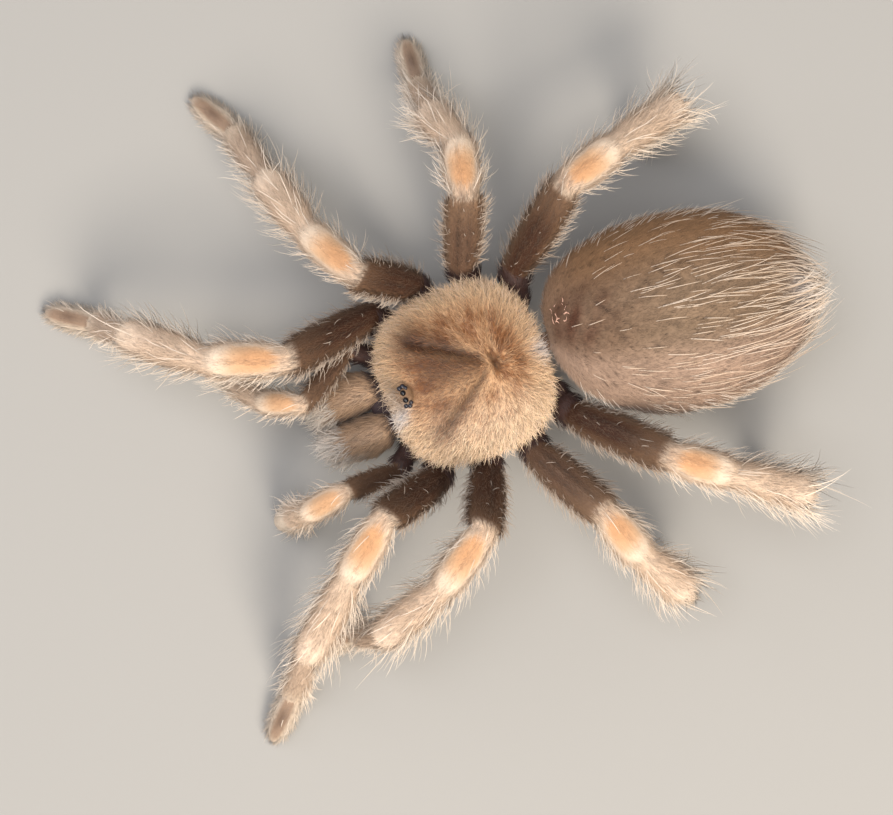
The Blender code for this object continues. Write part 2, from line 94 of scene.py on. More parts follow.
class Tint(Enum):
    """Colours of the cuticle and the hair, as sRGB hex values."""

    COXA = "46302A"
    BELLY = "3A2721"
    FEMUR_DARK = "462A1A"
    FEMUR_TAUPE = "694E3C"
    FEMUR_FLANK = "8C6E54"
    FEMUR_LINE = "2C1D16"
    KNEE_ORANGE = "C08C60"
    KNEE_PEACH = "CAA37F"
    KNEE_RIM = "DCC6AE"
    KNEE_MARK = "7A5238"
    SHIN = "D0B49A"
    SHIN_TIP = "DEC4AC"
    METATARSUS = "C2A78F"
    METATARSUS_TIP = "D8C2AA"
    TARSUS = "957C67"
    TARSUS_STRIPE = "644E3F"
    TARSUS_RIM = "D0BDA8"
    SOLE = "7B6857"
    SETA = "DCC8B2"
    CREAM = "F4E4D2"
    GOLD = "D6AB80"
    GOLD_RIM = "D6B592"
    # Paler beige of the shield's left side: partly its own colour, partly painted light on the side that
    # faces the key light.
    BEIGE = "DEC0A0"
    GOLD_DEEP = "82502A"
    # Dark brown of the eye tubercle, also used as painted shade in the shield's pit and head grooves.
    GROOVE = "40240F"
    CAPUT = "5E3D25"
    # Pale whitish spots on the shield, and the painted sheen on top of the abdomen's rear.
    WORN = "D8D2D0"
    TAUPE = "846C55"
    TAUPE_SIDE = "94704F"
    # Tan of the abdomen's front and left flank; on the left flank it is partly painted light.
    TAN = "A88C78"
    RUST = "543322"
    SPECK = "E0AF96"
    VENTRAL = "80624E"
    JAW = "A4866A"
    # Pale hair of the jaws' tips and tufts; on top of each jaw's tip it is partly a painted highlight.
    JAW_TIP = "D4C8BA"
    # Dark membrane between jaws and shield, made darker as painted shade, and painted shade in the cleft
    # between the jaws.
    MEMBRANE = "2E2224"
    HORN = "1E120D"

    @property
    def rgb(self) -> Array:
        """Linear red, green and blue."""
        return linear(self.value)


def rise(value: Array, low: float, high: float) -> Array:
    """Smooth step from 0 at low to 1 at high."""
    share = np.clip((value - low) / (high - low), 0.0, 1.0)
    return share * share * (3.0 - 2.0 * share)


def hump(value: Array, centre: float, width: float) -> Array:
    """Bell curve that is 1 at the centre and falls off over the width."""
    return np.exp(-((value - centre) / width) ** 2)


def paint(base: Array, *layers: tuple) -> Array:
    """Mix tints into rows of colours, one over the other.

    Args:
        base: Linear colours in rows.
        layers: Each tint with its share, one for all rows or one for each.

    Returns:
        Linear colours in rows.
    """
    for tint, share in layers:
        share = np.broadcast_to(np.clip(share, 0.0, 1.0), len(base))[:, None]
        base = base * (1.0 - share) + tint.rgb * share
    return base


def one_tint(tint: Tint, rows: Array) -> Array:
    """Rows of one tint, as many as there are rows of another array."""
    return np.tile(tint.rgb, (len(rows), 1))


def unit(rows: Array) -> Array:
    """Rows of vectors at length one."""
    return rows / np.maximum(np.linalg.norm(rows, axis=-1, keepdims=True), 1e-12)


def ripple(points: Array, wavelength: float, seed: int) -> Array:
    """Smooth unevenness between about -1 and 1: a few waves that cross each other.

    Args:
        points: Places in rows.
        wavelength: Length of every wave.
        seed: Start of the random draws of the waves' ways.

    Returns:
        One value for each place.
    """
    turns = np.random.default_rng(seed)
    total = np.zeros(len(points))
    for _ in range(WAVES):
        way = unit(turns.normal(size=3))
        phase = turns.uniform(0.0, 2.0 * math.pi)
        total += np.sin(points @ way * (2.0 * math.pi / wavelength) + phase)
    return total / WAVE_SPREAD


def node_points(name: str) -> Array:
    """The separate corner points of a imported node.

    Args:
        name: The node's name.

    Returns:
        Its points in rows, in metres.
    """
    mesh = frame["nodes"][name].data
    flat = np.zeros(len(mesh.vertices) * 3)
    mesh.vertices.foreach_get("co", flat)
    return np.unique(np.round(flat.reshape(-1, 3), 7), axis=0)


def pit_place() -> Array:
    """The place on the floor below the pit in the middle of the shield."""
    low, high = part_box("carapace")
    return np.array(((low.x + high.x) / 2, (low.y + high.y) / 2 + PIT_BACK, 0.0))


# ---------------------------------------------------------------- finishes


def add_node(tree: bpy.types.NodeTree, kind: str, settings: dict, links: dict) -> bpy.types.Node:
    """Add one shader node.

    Args:
        tree: The node tree that takes the node.
        kind: The node's Blender type.
        settings: Values by property or input name.
        links: Output sockets by input name or number.

    Returns:
        The new node.
    """
    node = tree.nodes.new(kind)
    for name, value in settings.items():
        if hasattr(node, name):
            setattr(node, name, value)
        else:
            node.inputs[name].default_value = value
    for name, socket in links.items():
        tree.links.new(socket, node.inputs[name])
    return node


@dataclass(frozen=True)
class Finish:
    """A surface of one plain colour or of a piece's own painted layer.

    Relief is a bump of fine grain: its size and depth are real lengths.
    """

    name: str
    colour: str = ""
    roughness: float = 0.6
    ior: float = 1.5
    specular: float = 0.5
    sheen: float = 0.0
    gloss_layer: float = 0.0
    grain: float = 0.0
    grain_depth: float = 0.0
    mottle: float = 0.0

    def material(self) -> bpy.types.Material:
        """Make the material.

        Returns:
            The new material.
        """
        made = bpy.data.materials.new(self.name)
        made.use_nodes = True
        tree = made.node_tree
        shader = tree.nodes["Principled BSDF"]
        settings = {
            "Roughness": self.roughness, "IOR": self.ior, "Specular IOR Level": self.specular,
            "Sheen Weight": self.sheen, "Coat Weight": self.gloss_layer, "Coat Roughness": 0.06,
        }
        if self.colour:
            settings["Base Color"] = (*linear(self.colour), 1.0)
        for name, value in settings.items():
            shader.inputs[name].default_value = value
        place = add_node(tree, "ShaderNodeTexCoord", {}, {}).outputs["Object"]
        tone = self.tone(tree, place)
        if tone is not None:
            tree.links.new(tone, shader.inputs["Base Color"])
        if self.grain:
            fine = {"Scale": 1.0 / self.grain, "Detail": 3.0}
            grit = add_node(tree, "ShaderNodeTexNoise", fine, {"Vector": place}).outputs["Fac"]
            depth = {"Strength": 0.7, "Distance": self.grain_depth}
            bump = add_node(tree, "ShaderNodeBump", depth, {"Height": grit})
            tree.links.new(bump.outputs["Normal"], shader.inputs["Normal"])
        return made

    def tone(self, tree: bpy.types.NodeTree, place: bpy.types.NodeSocket) -> bpy.types.NodeSocket | None:
        """Nodes of the colour: the painted layer or one colour, mottled where the finish says so.

        Args:
            tree: The material's node tree.
            place: Socket of the places in the piece's own space.

        Returns:
            The colour's socket, or None where the colour is plain.
        """
        tone = None
        if not self.colour:
            tone = add_node(tree, "ShaderNodeAttribute", {"attribute_name": COAT_LAYER}, {}).outputs["Color"]
        if not self.mottle:
            return tone
        coarse = {"Scale": 1.0 / (4.0 * self.grain), "Detail": 4.0}
        cloud = add_node(tree, "ShaderNodeTexNoise", coarse, {"Vector": place}).outputs["Fac"]
        limits = {"To Min": 1.0 - self.mottle, "To Max": 1.0 + self.mottle}
        swing = add_node(tree, "ShaderNodeMapRange", limits, {"Value": cloud}).outputs["Result"]
        shade = add_node(tree, "ShaderNodeVectorMath", {"operation": "MULTIPLY"}, {1: swing})
        if tone is None:
            shade.inputs[0].default_value = linear(self.colour)
        else:
            tree.links.new(tone, shade.inputs[0])
        return shade.outputs["Vector"]


# Cuticle under short felted hair: dull, with a grain as fine as the hair's own.
CUTICLE = Finish("felted_cuticle", roughness=0.72, specular=0.3, grain=0.22 * MM, grain_depth=0.12 * MM,
                 mottle=0.18)
# Chitin hair: satin, with a faint sheen where it turns away.
HAIR = Finish("chitin_hair", roughness=0.5, specular=0.35, sheen=0.15)
# Short velvet hair scatters more light and shows no gloss.
VELVET = Finish("velvet_hair", roughness=0.68, specular=0.22, sheen=0.2)
# Hard dark horn of fangs and claws: polished chitin.
HORN = Finish("dark_horn", colour=Tint.HORN.value, roughness=0.22, ior=1.56, gloss_layer=0.4,
              grain=0.3 * MM, grain_depth=0.01 * MM)
# Eye lenses: wet-looking cuticle, dark in front and pearly behind.
DARK_LENS = Finish("dark_eye_lens", colour="0B0A0E", roughness=0.14, ior=1.42, gloss_layer=0.2,
                   grain=0.5 * MM, grain_depth=0.002 * MM)
PEARL_LENS = Finish("pearly_eye_lens", colour="26262E", roughness=0.16, ior=1.42, gloss_layer=0.2,
                    grain=0.15 * MM, grain_depth=0.004 * MM, mottle=0.35)
# Studio floor: matt pale card.
CARD = Finish("pale_card", colour="A29F9A", roughness=0.9, specular=0.1)


def finished_object(name: str, mesh: bpy.types.Mesh, finish: Finish) -> bpy.types.Object:
    """Put a mesh in the scene as a piece that rides on the body.

    Args:
        name: The piece's name.
        mesh: Its mesh, placed in the row frame.
        finish: Its finish.

    Returns:
        The object.
    """
    mesh.materials.append(finish.material())
    piece = bpy.data.objects.new(name, mesh)
    bpy.context.scene.collection.objects.link(piece)
    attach(piece, "root")
    log.info("%s: %d faces", name, len(mesh.polygons))
    return piece


# ---------------------------------------------------------------- forms


class Form:
    """A surface addressed by a share along it (0 to 1) and an angle round it."""

    SLOPE_STEP = 0.002
    handed = 1.0

    def places(self, along: Array, angle: Array) -> Array:
        """Points of the surface."""
        raise NotImplementedError

    def tints(self, along: Array, angle: Array) -> Array:
        """Linear colours of the markings at places on the surface."""
        raise NotImplementedError

    def spots(self, along: Array, angle: Array) -> Array:
        """Places on the surface's own unwrap, between 0 and 1."""
        turn = np.mod(angle + math.pi / 2, 2 * math.pi) / (2 * math.pi)
        return np.stack([0.02 + 0.96 * along, 0.02 + 0.96 * turn], axis=1)

    def slopes(self, along: Array, angle: Array) -> tuple:
        """How the surface runs ahead and round at places on it.

        Args:
            along: Shares along the form.
            angle: Angles round it.

        Returns:
            Vectors ahead and round, each over two slope steps.
        """
        step = self.SLOPE_STEP
        ahead = self.places(along + step, angle) - self.places(along - step, angle)
        aside = self.places(along, angle + step) - self.places(along, angle - step)
        return ahead, aside

    def outward(self, along: Array, angle: Array) -> Array:
        """Unit normals that point away from the body."""
        ahead, aside = self.slopes(along, angle)
        return unit(np.cross(aside, ahead)) * self.handed

    def lie(self, along: Array, angle: Array) -> Array:
        """Unit vectors that the coat follows, along the surface."""
        return unit(self.slopes(along, angle)[0])

    def areas(self, along: Array, angle: Array) -> Array:
        """How much surface a small step at each place covers."""
        ahead, aside = self.slopes(along, angle)
        return np.linalg.norm(np.cross(ahead, aside), axis=1) / (4.0 * self.SLOPE_STEP * self.SLOPE_STEP)


@dataclass
class Tube(Form):
    """A tube through a row of evenly spaced sections."""

    centres: Array
    normals: Array
    across: Array
    widths: Array
    heights: Array
    squareness: float = 2.0

    def places(self, along: Array, angle: Array) -> Array:
        """Points of the tube.

        Args:
            along: Shares along the tube.
            angle: Angles round it.

        Returns:
            Points in rows.
        """
        at = np.clip(along, 0.0, 1.0) * (len(self.centres) - 1)
        low = np.minimum(at.astype(int), len(self.centres) - 2)
        part = (at - low)[:, None]
        rows = (self.normals, self.across, self.widths[:, None], self.heights[:, None], self.centres)
        mixed = [row[low] * (1.0 - part) + row[low + 1] * part for row in rows]
        normal, across, width, height, centre = mixed
        normal = unit(normal)
        across = unit(across - normal * np.sum(across * normal, axis=1, keepdims=True))
        upward = np.cross(normal, across)
        power = 2.0 / self.squareness
        wide, high = [np.sign(turn) * np.abs(turn) ** power for turn in (np.cos(angle), np.sin(angle))]
        return centre + across * wide[:, None] * width + upward * high[:, None] * height


def smoothed(rows: Array, reach: float) -> Array:
    """Average rows with their neighbours under a bell curve.

    Args:
        rows: Rows of vectors, or single values.
        reach: The bell's reach, in rows.

    Returns:
        As many rows or values.
    """
    half = int(3 * reach)
    bell = np.exp(-0.5 * (np.arange(-half, half + 1) / reach) ** 2)
    bell /= bell.sum()
    padded = np.pad(rows, [(half, half)] + [(0, 0)] * (rows.ndim - 1), mode="edge")
    if rows.ndim == 1:
        return np.convolve(padded, bell, mode="valid")
    return np.stack([np.convolve(column, bell, mode="valid") for column in padded.T], axis=1)


def facing(points: Array, others: Array) -> Array:
    """The cap of points that lies nearest to another node's points."""
    gaps = np.linalg.norm(points[:, None, :] - others[None, :, :], axis=2).min(axis=1)
    return points[np.argsort(gaps)[:CAP_SIDES]]


class Segment(Enum):
    """Segments of a limb, from the body out to the toe."""

    COXA = 0
    TROCHANTER = 1
    FEMUR = 2
    PATELLA = 3
    TIBIA = 4
    METATARSUS = 5
    TARSUS = 6


@dataclass(frozen=True)
class LimbKind:
    """What sets one kind of limb apart: its segments, base and tints."""

    segments: tuple
    coxa_reach: float
    coxa_girth: float
    femur: Tint
    flank: float
    spray: float = 1.0
    orange: float = 1.0
    stripe: float = 1.0


FRONT_LEG = LimbKind(tuple(Segment)[2:], 4.6 * MM, 1.45 * MM, Tint.FEMUR_DARK, 0.45, spray=0.12)
THIRD_LEG = LimbKind(tuple(Segment)[2:], 4.6 * MM, 1.45 * MM, Tint.FEMUR_TAUPE, 0.8, spray=0.6)
HIND_LEG = LimbKind(tuple(Segment)[2:], 4.6 * MM, 1.45 * MM, Tint.FEMUR_DARK, 0.75)
PALP_SEGMENTS = (Segment.FEMUR, Segment.PATELLA, Segment.TIBIA, Segment.TARSUS)
PALP = LimbKind(PALP_SEGMENTS, 6.2 * MM, 1.05 * MM, Tint.FEMUR_TAUPE, 0.5, spray=0.5, orange=0.6, stripe=0.0)


@dataclass
class Limb(Tube):
    """The skin of one leg or palp, from its coxa to the tip of its toe."""

    name: str = ""
    kind: LimbKind = FRONT_LEG
    bounds: Array = None

    STATION = 0.12 * MM
    COAT_DEPTH = 0.3 * MM
    TOE_COAT_DEPTH = 0.2 * MM
    # How much wider the solids' corners reach than the round limb they stand for.
    CORNER_REACH = 1.05
    # The elbow between coxa and trochanter, inward of the first joint.
    ELBOW = 1.7 * MM
    ELBOW_RISE = 0.3 * MM
    HIP_RISE = 1.0 * MM
    FAN = 0.35
    DEPTH = 1.04
    SMOOTHING = 0.3 * MM
    TOE_BLUNTNESS = 0.16
    # Girth along a segment: slim at its root, full to a cuff near its end.
    BARREL = ((0.0, 0.06, 0.2, 0.4, 0.8, 0.93, 1.0), (0.78, 0.84, 0.93, 1.0, 1.0, 0.96, 0.8))
    TOE = ((0.0, 0.08, 0.3, 0.6, 0.85, 1.0), (0.82, 0.94, 1.04, 0.98, 0.78, 0.55))

    @classmethod
    def from_frame(cls, name: str, kind: LimbKind) -> "Limb":
        """Measure one limb in the frame and lay its skin inside it.

        Args:
            name: The first part of the limb's node names.
            kind: The kind of limb.

        Returns:
            The limb.
        """
        nodes = [node_points(name + "_" + part.name.lower()) for part in kind.segments]
        joints, girths = [facing(nodes[0], node_points("sternum_and_coxae")).mean(axis=0)], []
        for near, far in zip(nodes, nodes[1:]):
            joints.append((facing(near, far).mean(axis=0) + facing(far, near).mean(axis=0)) / 2)
        reach = np.linalg.norm(nodes[-1] - joints[-1], axis=1)
        joints.append(nodes[-1][np.argsort(-reach)[:CAP_SIDES - 2]].mean(axis=0))
        for start, end, points in zip(joints, joints[1:], nodes):
            way = unit(end - start)
            offset = points - start
            away = offset - np.outer(offset @ way, way)
            middle = np.abs(offset @ way / np.linalg.norm(end - start) - 0.5) < 0.3
            girths.append(np.linalg.norm(away[middle], axis=1).max() / cls.CORNER_REACH)
        hip = cls.hip(kind, joints[0])
        base = kind.coxa_girth + cls.COAT_DEPTH
        return cls.from_joints(name, kind, np.array([*hip, *joints]), np.array([base, base, *girths]))

    @classmethod
    def hip(cls, kind: LimbKind, base: Array) -> tuple:
        """Places of the coxa's root and of the elbow, under the shield.

        Args:
            kind: The kind of limb.
            base: The limb's first joint outside the coxae.

        Returns:
            Both places.
        """
        pit = pit_place()
        out = base - np.array((pit[0], pit[1] + cls.FAN * (base[1] - pit[1]), 0.0))
        out[2] = 0.0
        out = unit(out)
        inner = base - out * kind.coxa_reach
        inner[2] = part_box("sternum_and_coxae")[0].z + cls.HIP_RISE + 0.2 * kind.coxa_girth
        elbow = base - out * cls.ELBOW
        elbow[2] = inner[2] + cls.ELBOW_RISE
        return inner, elbow

    @classmethod
    def from_joints(cls, name: str, kind: LimbKind, joints: Array, girths: Array) -> "Limb":
        """Lay sections along a limb through its joints.

        Args:
            name: The first part of the limb's node names.
            kind: The kind of limb.
            joints: Places of the joints, from the coxa's root to the toe's tip.
            girths: Half widths of the spans between them, with the coat.

        Returns:
            The limb.
        """
        lengths = np.linalg.norm(np.diff(joints, axis=0), axis=1)
        ways = np.diff(joints, axis=0) / lengths[:, None]
        planes = np.array([ways[0], *unit(ways[:-1] + ways[1:]), ways[-1]])
        sides = []
        for way in ways:
            side = unit(np.cross(UP, way))
            sides.append(-side if sides and side @ sides[-1] < 0.0 else side)
        bounds = np.concatenate([[0.0], np.cumsum(lengths)])
        at = np.linspace(0.0, bounds[-1], int(bounds[-1] / cls.STATION))
        last = len(lengths) - 1
        span = np.minimum(np.searchsorted(bounds, at, side="right") - 1, last)
        share = (at - bounds[span]) / lengths[span]
        near, far = (1 - share)[:, None], share[:, None]
        toe = span == last
        profile = np.where(toe, np.interp(share, *cls.TOE), np.interp(share, *cls.BARREL))
        widths = girths[span] * profile - np.where(toe, cls.TOE_COAT_DEPTH, cls.COAT_DEPTH)
        blunt = np.sqrt(np.clip((1.0 - share) / cls.TOE_BLUNTNESS, 0.0, 1.0))
        widths = np.where(toe, widths * (0.15 + 0.85 * blunt), widths)
        smooth = cls.SMOOTHING / cls.STATION
        return cls(
            centres=smoothed(joints[span] * near + joints[span + 1] * far, smooth),
            normals=unit(smoothed(unit(planes[span] * near + planes[span + 1] * far), smooth)),
            across=smoothed(np.array(sides)[span], smooth), widths=smoothed(widths, smooth),
            heights=smoothed(widths * cls.DEPTH, smooth), name=name, kind=kind, bounds=bounds / bounds[-1],
        )

    def split(self, along: Array) -> tuple:
        """Find the segment that each place lies on.

        Args:
            along: Shares along the limb.

        Returns:
            Numbers of the segments, and shares of the way down them.
        """
        span = np.clip(np.searchsorted(self.bounds, along, side="right") - 1, 0, len(self.bounds) - 2)
        share = (along - self.bounds[span]) / (self.bounds[span + 1] - self.bounds[span])
        parts = (Segment.COXA, Segment.TROCHANTER, *self.kind.segments)
        return np.array([part.value for part in parts])[span], np.clip(share, 0.0, 1.0)

    @staticmethod
    def off_top(angle: Array) -> Array:
        """Degrees round the limb from the middle of its upper side."""
        return np.abs(np.degrees(np.arctan2(np.cos(angle), np.sin(angle))))

    def tints(self, along: Array, angle: Array) -> Array:
        """Markings of the limb.

        Args:
            along: Shares along the limb.
            angle: Angles round it.

        Returns:
            Linear colours.
        """
        part, share = self.split(along)
        off_top = self.off_top(angle)
        colours = one_tint(Tint.COXA, along)
        painters = {
            Segment.FEMUR: self.paint_femur, Segment.PATELLA: self.paint_knee, Segment.TIBIA: self.paint_shin,
            Segment.METATARSUS: self.paint_metatarsus, Segment.TARSUS: self.paint_tarsus,
        }
        for segment, painter in painters.items():
            here = part == segment.value
            colours[here] = painter(share[here], off_top[here])
        below = rise(-np.sin(angle), 0.1, 0.75) * (part > Segment.TROCHANTER.value)
        return paint(colours, (Tint.SOLE, 0.75 * below))

    def paint_femur(self, share: Array, off_top: Array) -> Array:
        """Dark thigh with two darker lines along its top and paler flanks.

        Args:
            share: Shares of the way down the segment.
            off_top: Degrees from its top.

        Returns:
            Linear colours.
        """
        lines = hump(off_top, 17.0, 7.5) * rise(share, 0.02, 0.2) * (1.0 - rise(share, 0.8, 0.95))
        return paint(
            one_tint(self.kind.femur, share),
            (Tint.FEMUR_FLANK, self.kind.flank * rise(off_top, 25.0, 75.0)),
            (Tint.FEMUR_LINE, 0.85 * lines),
            (Tint.FEMUR_FLANK, self.kind.flank * 0.6 * rise(share, 0.5, 0.95)),
            (Tint.KNEE_RIM, 0.5 * rise(share, 0.92, 0.99)),
        )

    @staticmethod
    def knee_distance(share: Array, off_top: Array) -> Array:
        """Distance from the middle of the knee's blunt oval patch, 1 at its rim."""
        return (np.abs((share - 0.52) / 0.43) ** 3 + (off_top / 62.0) ** 3) ** (1 / 3)

    def paint_knee(self, share: Array, off_top: Array) -> Array:
        """Oval peach patch, orange towards the thigh and cream towards the shin.

        Args:
            share: Shares of the way down the segment.
            off_top: Degrees from its top.

        Returns:
            Linear colours.
        """
        away = self.knee_distance(share, off_top)
        heart = np.hypot((share - 0.36) / 0.42, off_top / 52.0)
        marks = hump(share, 0.05, 0.05) * hump(off_top, 18.0, 10.0)
        return paint(
            one_tint(Tint.SHIN, share),
            (Tint.KNEE_RIM, 0.9 * (1.0 - rise(away, 0.8, 1.2))),
            (Tint.KNEE_PEACH, (1.0 - rise(away, 0.6, 1.0)) * (1.0 - rise(share, 0.6, 0.9))),
            (Tint.KNEE_ORANGE, 0.8 * self.kind.orange * (1.0 - rise(heart, 0.25, 1.0))),
            (Tint.KNEE_MARK, 0.5 * marks * (self.kind is not FRONT_LEG)),
        )

    def paint_shin(self, share: Array, off_top: Array) -> Array:
        """Beige shin with a broad cream end.

        Args:
            share: Shares of the way down the segment.
            off_top: Degrees from its top.

        Returns:
            Linear colours.
        """
        return paint(
            one_tint(Tint.SHIN, share),
            (Tint.SHIN_TIP, 0.9 * rise(share, 0.4, 0.9) * (1.0 - rise(off_top, 45.0, 85.0))),
            (Tint.METATARSUS_TIP, 0.5 * rise(share, 0.6, 1.0)),
        )

    def paint_metatarsus(self, share: Array, off_top: Array) -> Array:
        """Greyer segment with a narrow cream end."""
        end = 0.85 * rise(share, 0.6, 0.97) * (1.0 - rise(off_top, 60.0, 120.0))
        return paint(one_tint(Tint.METATARSUS, share), (Tint.METATARSUS_TIP, end))

    def paint_tarsus(self, share: Array, off_top: Array) -> Array:
        """Toe with a soft dark stripe on top and pale edges.

        Args:
            share: Shares of the way down the segment.
            off_top: Degrees from its top.

        Returns:
            Linear colours.
        """
        return paint(
            one_tint(Tint.TARSUS, share),
            (Tint.TARSUS_RIM, rise(off_top, 22.0, 60.0)),
            (Tint.TARSUS_RIM, 0.6 * rise(share, 0.75, 1.0)),
            (Tint.TARSUS_RIM, 1.0 - self.kind.stripe),
            (Tint.TARSUS_STRIPE, self.kind.stripe * hump(off_top, 0.0, 24.0) * hump(share, 0.42, 0.26)),
        )

    def bareness(self, along: Array, angle: Array) -> Array:
        """How smooth the coat lies, from 0 to 1 on the knee patch, cuffs, toes and thighs.

        Args:
            along: Shares along the limb.
            angle: Angles round it.

        Returns:
            One value for each place.
        """
        part, share = self.split(along)
        off_top = self.off_top(angle)
        knee = (part == Segment.PATELLA.value) * (1.0 - rise(self.knee_distance(share, off_top), 0.75, 1.15))
        cuff = (part == Segment.TIBIA.value) * rise(share, 0.5, 0.8) * (1.0 - rise(off_top, 30.0, 60.0))
        cuff = cuff * (1.0 - 0.3 * self.kind.spray)
        stripe = (part == Segment.TARSUS.value) * (1.0 - rise(off_top, 15.0, 40.0))
        thigh = (part == Segment.FEMUR.value) * (1.0 - rise(off_top, 30.0, 55.0))
        return np.maximum.reduce([knee, 0.8 * cuff, 0.8 * stripe, 0.6 * thigh])


def section_tube(cls: type, centres: Array, way: Array, across: Array, radii: tuple, **more: object) -> Tube:
    """Make a tube form whose sections all lie across one way.

    Args:
        cls: The class of the form.
        centres: Middles of the sections in rows.
        way: The way that the sections face, one for all or one for each.
        across: The sections' sideways unit vector.
        radii: Half widths and half heights of the sections.
        more: The form's further fields.

    Returns:
        The form.
    """
    count = len(centres)
    return cls(
        centres=np.array(centres), normals=unit(np.broadcast_to(way, (count, 3))),
        across=np.tile(across, (count, 1)), widths=np.broadcast_to(radii[0], count),
        heights=np.broadcast_to(radii[1], count), **more,
    )


@dataclass
class Abdomen(Tube):
    """The egg-shaped hind body, turned a little to the spider's left."""

    FRONT = np.array((-0.45, 5.0, 8.7)) * MM
    REAR = np.array((4.5, 28.5, 9.0)) * MM
    FRONT_TURN = math.radians(4.6)
    REAR_TURN = math.radians(13.8)
    BLUNTNESS = 0.84
    WIDE = 9.1 / 7.6
    COAT_DEPTH = 0.3 * MM
    STATIONS = 160
    POLE_GAP = 0.02
    # Shallow pairs of dents where muscles hold the wall.
    DENTS = (0.2, 0.36, 0.52, 0.66)
    DENT_DEPTH = 0.16 * MM
    WALL_RIPPLE = 0.05 * MM

    @classmethod
    def directions(cls, share: Array) -> tuple:
        """Ways back and to the left along the abdomen.

        Args:
            share: Shares of its length.

        Returns:
            Unit vectors backward and leftward.
        """
        turn = cls.FRONT_TURN + (cls.REAR_TURN - cls.FRONT_TURN) * np.minimum(2.0 * share, 1.0)
        sine, cosine, level = np.sin(turn), np.cos(turn), np.zeros_like(turn)
        return np.stack([sine, cosine, level], axis=-1), np.stack([cosine, -sine, level], axis=-1)

    @classmethod
    def from_frame(cls) -> "Abdomen":
        """Lay the abdomen's skin inside its node.

        Returns:
            The abdomen.
        """
        low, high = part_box("abdomen")
        half = (high.z - low.z) / 2
        angles = np.linspace(cls.POLE_GAP, math.pi - cls.POLE_GAP, cls.STATIONS)
        inset = cls.COAT_DEPTH / np.linalg.norm(cls.REAR - cls.FRONT)
        share = 0.5 - (0.5 - inset) * np.cos(angles)
        swell = np.sin(angles) ** cls.BLUNTNESS
        back, left = cls.directions(share)
        return cls(
            centres=pit_place() + cls.FRONT + np.outer(share, cls.REAR - cls.FRONT),
            normals=back,
            across=-left,
            widths=(half * cls.WIDE - cls.COAT_DEPTH) * swell, heights=(half - cls.COAT_DEPTH) * swell,
        )

    def places(self, along: Array, angle: Array) -> Array:
        """Points of the abdomen, with dents and a little unevenness.

        Args:
            along: Shares along the abdomen.
            angle: Angles round it.

        Returns:
            Points in rows.
        """
        points = super().places(along, angle)
        inward = np.zeros(len(points))
        for share in self.DENTS:
            dent = hump(along, share, 0.018) * hump(np.abs(np.cos(angle)), 0.2 + 0.1 * share, 0.05)
            inward += self.DENT_DEPTH * dent * (np.sin(angle) > 0.0)
        inward += self.WALL_RIPPLE * ripple(points, 3.1 * MM, 5)
        middle = self.centres[len(self.centres) // 2]
        return points - unit(points - middle) * inward[:, None]

    def tints(self, along: Array, angle: Array) -> Array:
        """Taupe velvet, tan on the left flank that is partly painted light, a painted sheen on top at the
        rear, and rusty with dark dots in front.

        Args:
            along: Shares along the abdomen.
            angle: Angles round it.

        Returns:
            Linear colours.
        """
        left = -np.cos(angle)
        top = np.sin(angle)
        points = super().places(along, angle)
        # Painted sheen: a pale shine on top of the rear end.
        painted_sheen = hump(along, 0.88, 0.07) * hump(left, 0.0, 0.5) * rise(top, 0.0, 0.5)
        rust = (1.0 - rise(along, 0.16, 0.5)) * rise(along, 0.04, 0.12)
        rust = rust * rise(top, 0.2, 0.8) * rise(0.8 - np.abs(left + 0.12), 0.0, 0.6)
        colours = paint(
            one_tint(Tint.TAUPE, along),
            (Tint.TAUPE_SIDE, rise(-left, 0.2, 0.8)),
            # Paler tan on the left flank: partly its own colour, partly painted light on the side that faces
            # the key light.
            (Tint.TAN, 0.85 * rise(left, 0.15, 0.65) * rise(top, -0.5, 0.3)),
            (Tint.TAN, 0.35 * (1.0 - rise(along, 0.1, 0.3))),
            (Tint.WORN, 0.5 * painted_sheen),
            (Tint.RUST, rust * (0.7 + 0.25 * ripple(points, 1.9 * MM, 8))),
        )
        drawn_out = np.stack([3.0 * np.cos(angle), 3.0 * np.sin(angle), along], axis=1)
        streaks = 0.1 * ripple(drawn_out, 0.3, 14) * rise(along, 0.2, 0.5)
        dots = rise(ripple(points, 0.4 * MM, 9), 0.7, 1.1) * rise(along, 0.08, 0.2)
        dots = dots * (1.0 - rise(along, 0.45, 0.7)) * rise(top, 0.2, 0.6)
        return paint(
            colours * (1.0 + streaks)[:, None],
            (Tint.FEMUR_LINE, 0.7 * dots), (Tint.VENTRAL, rise(-top, 0.0, 0.6)),
        )


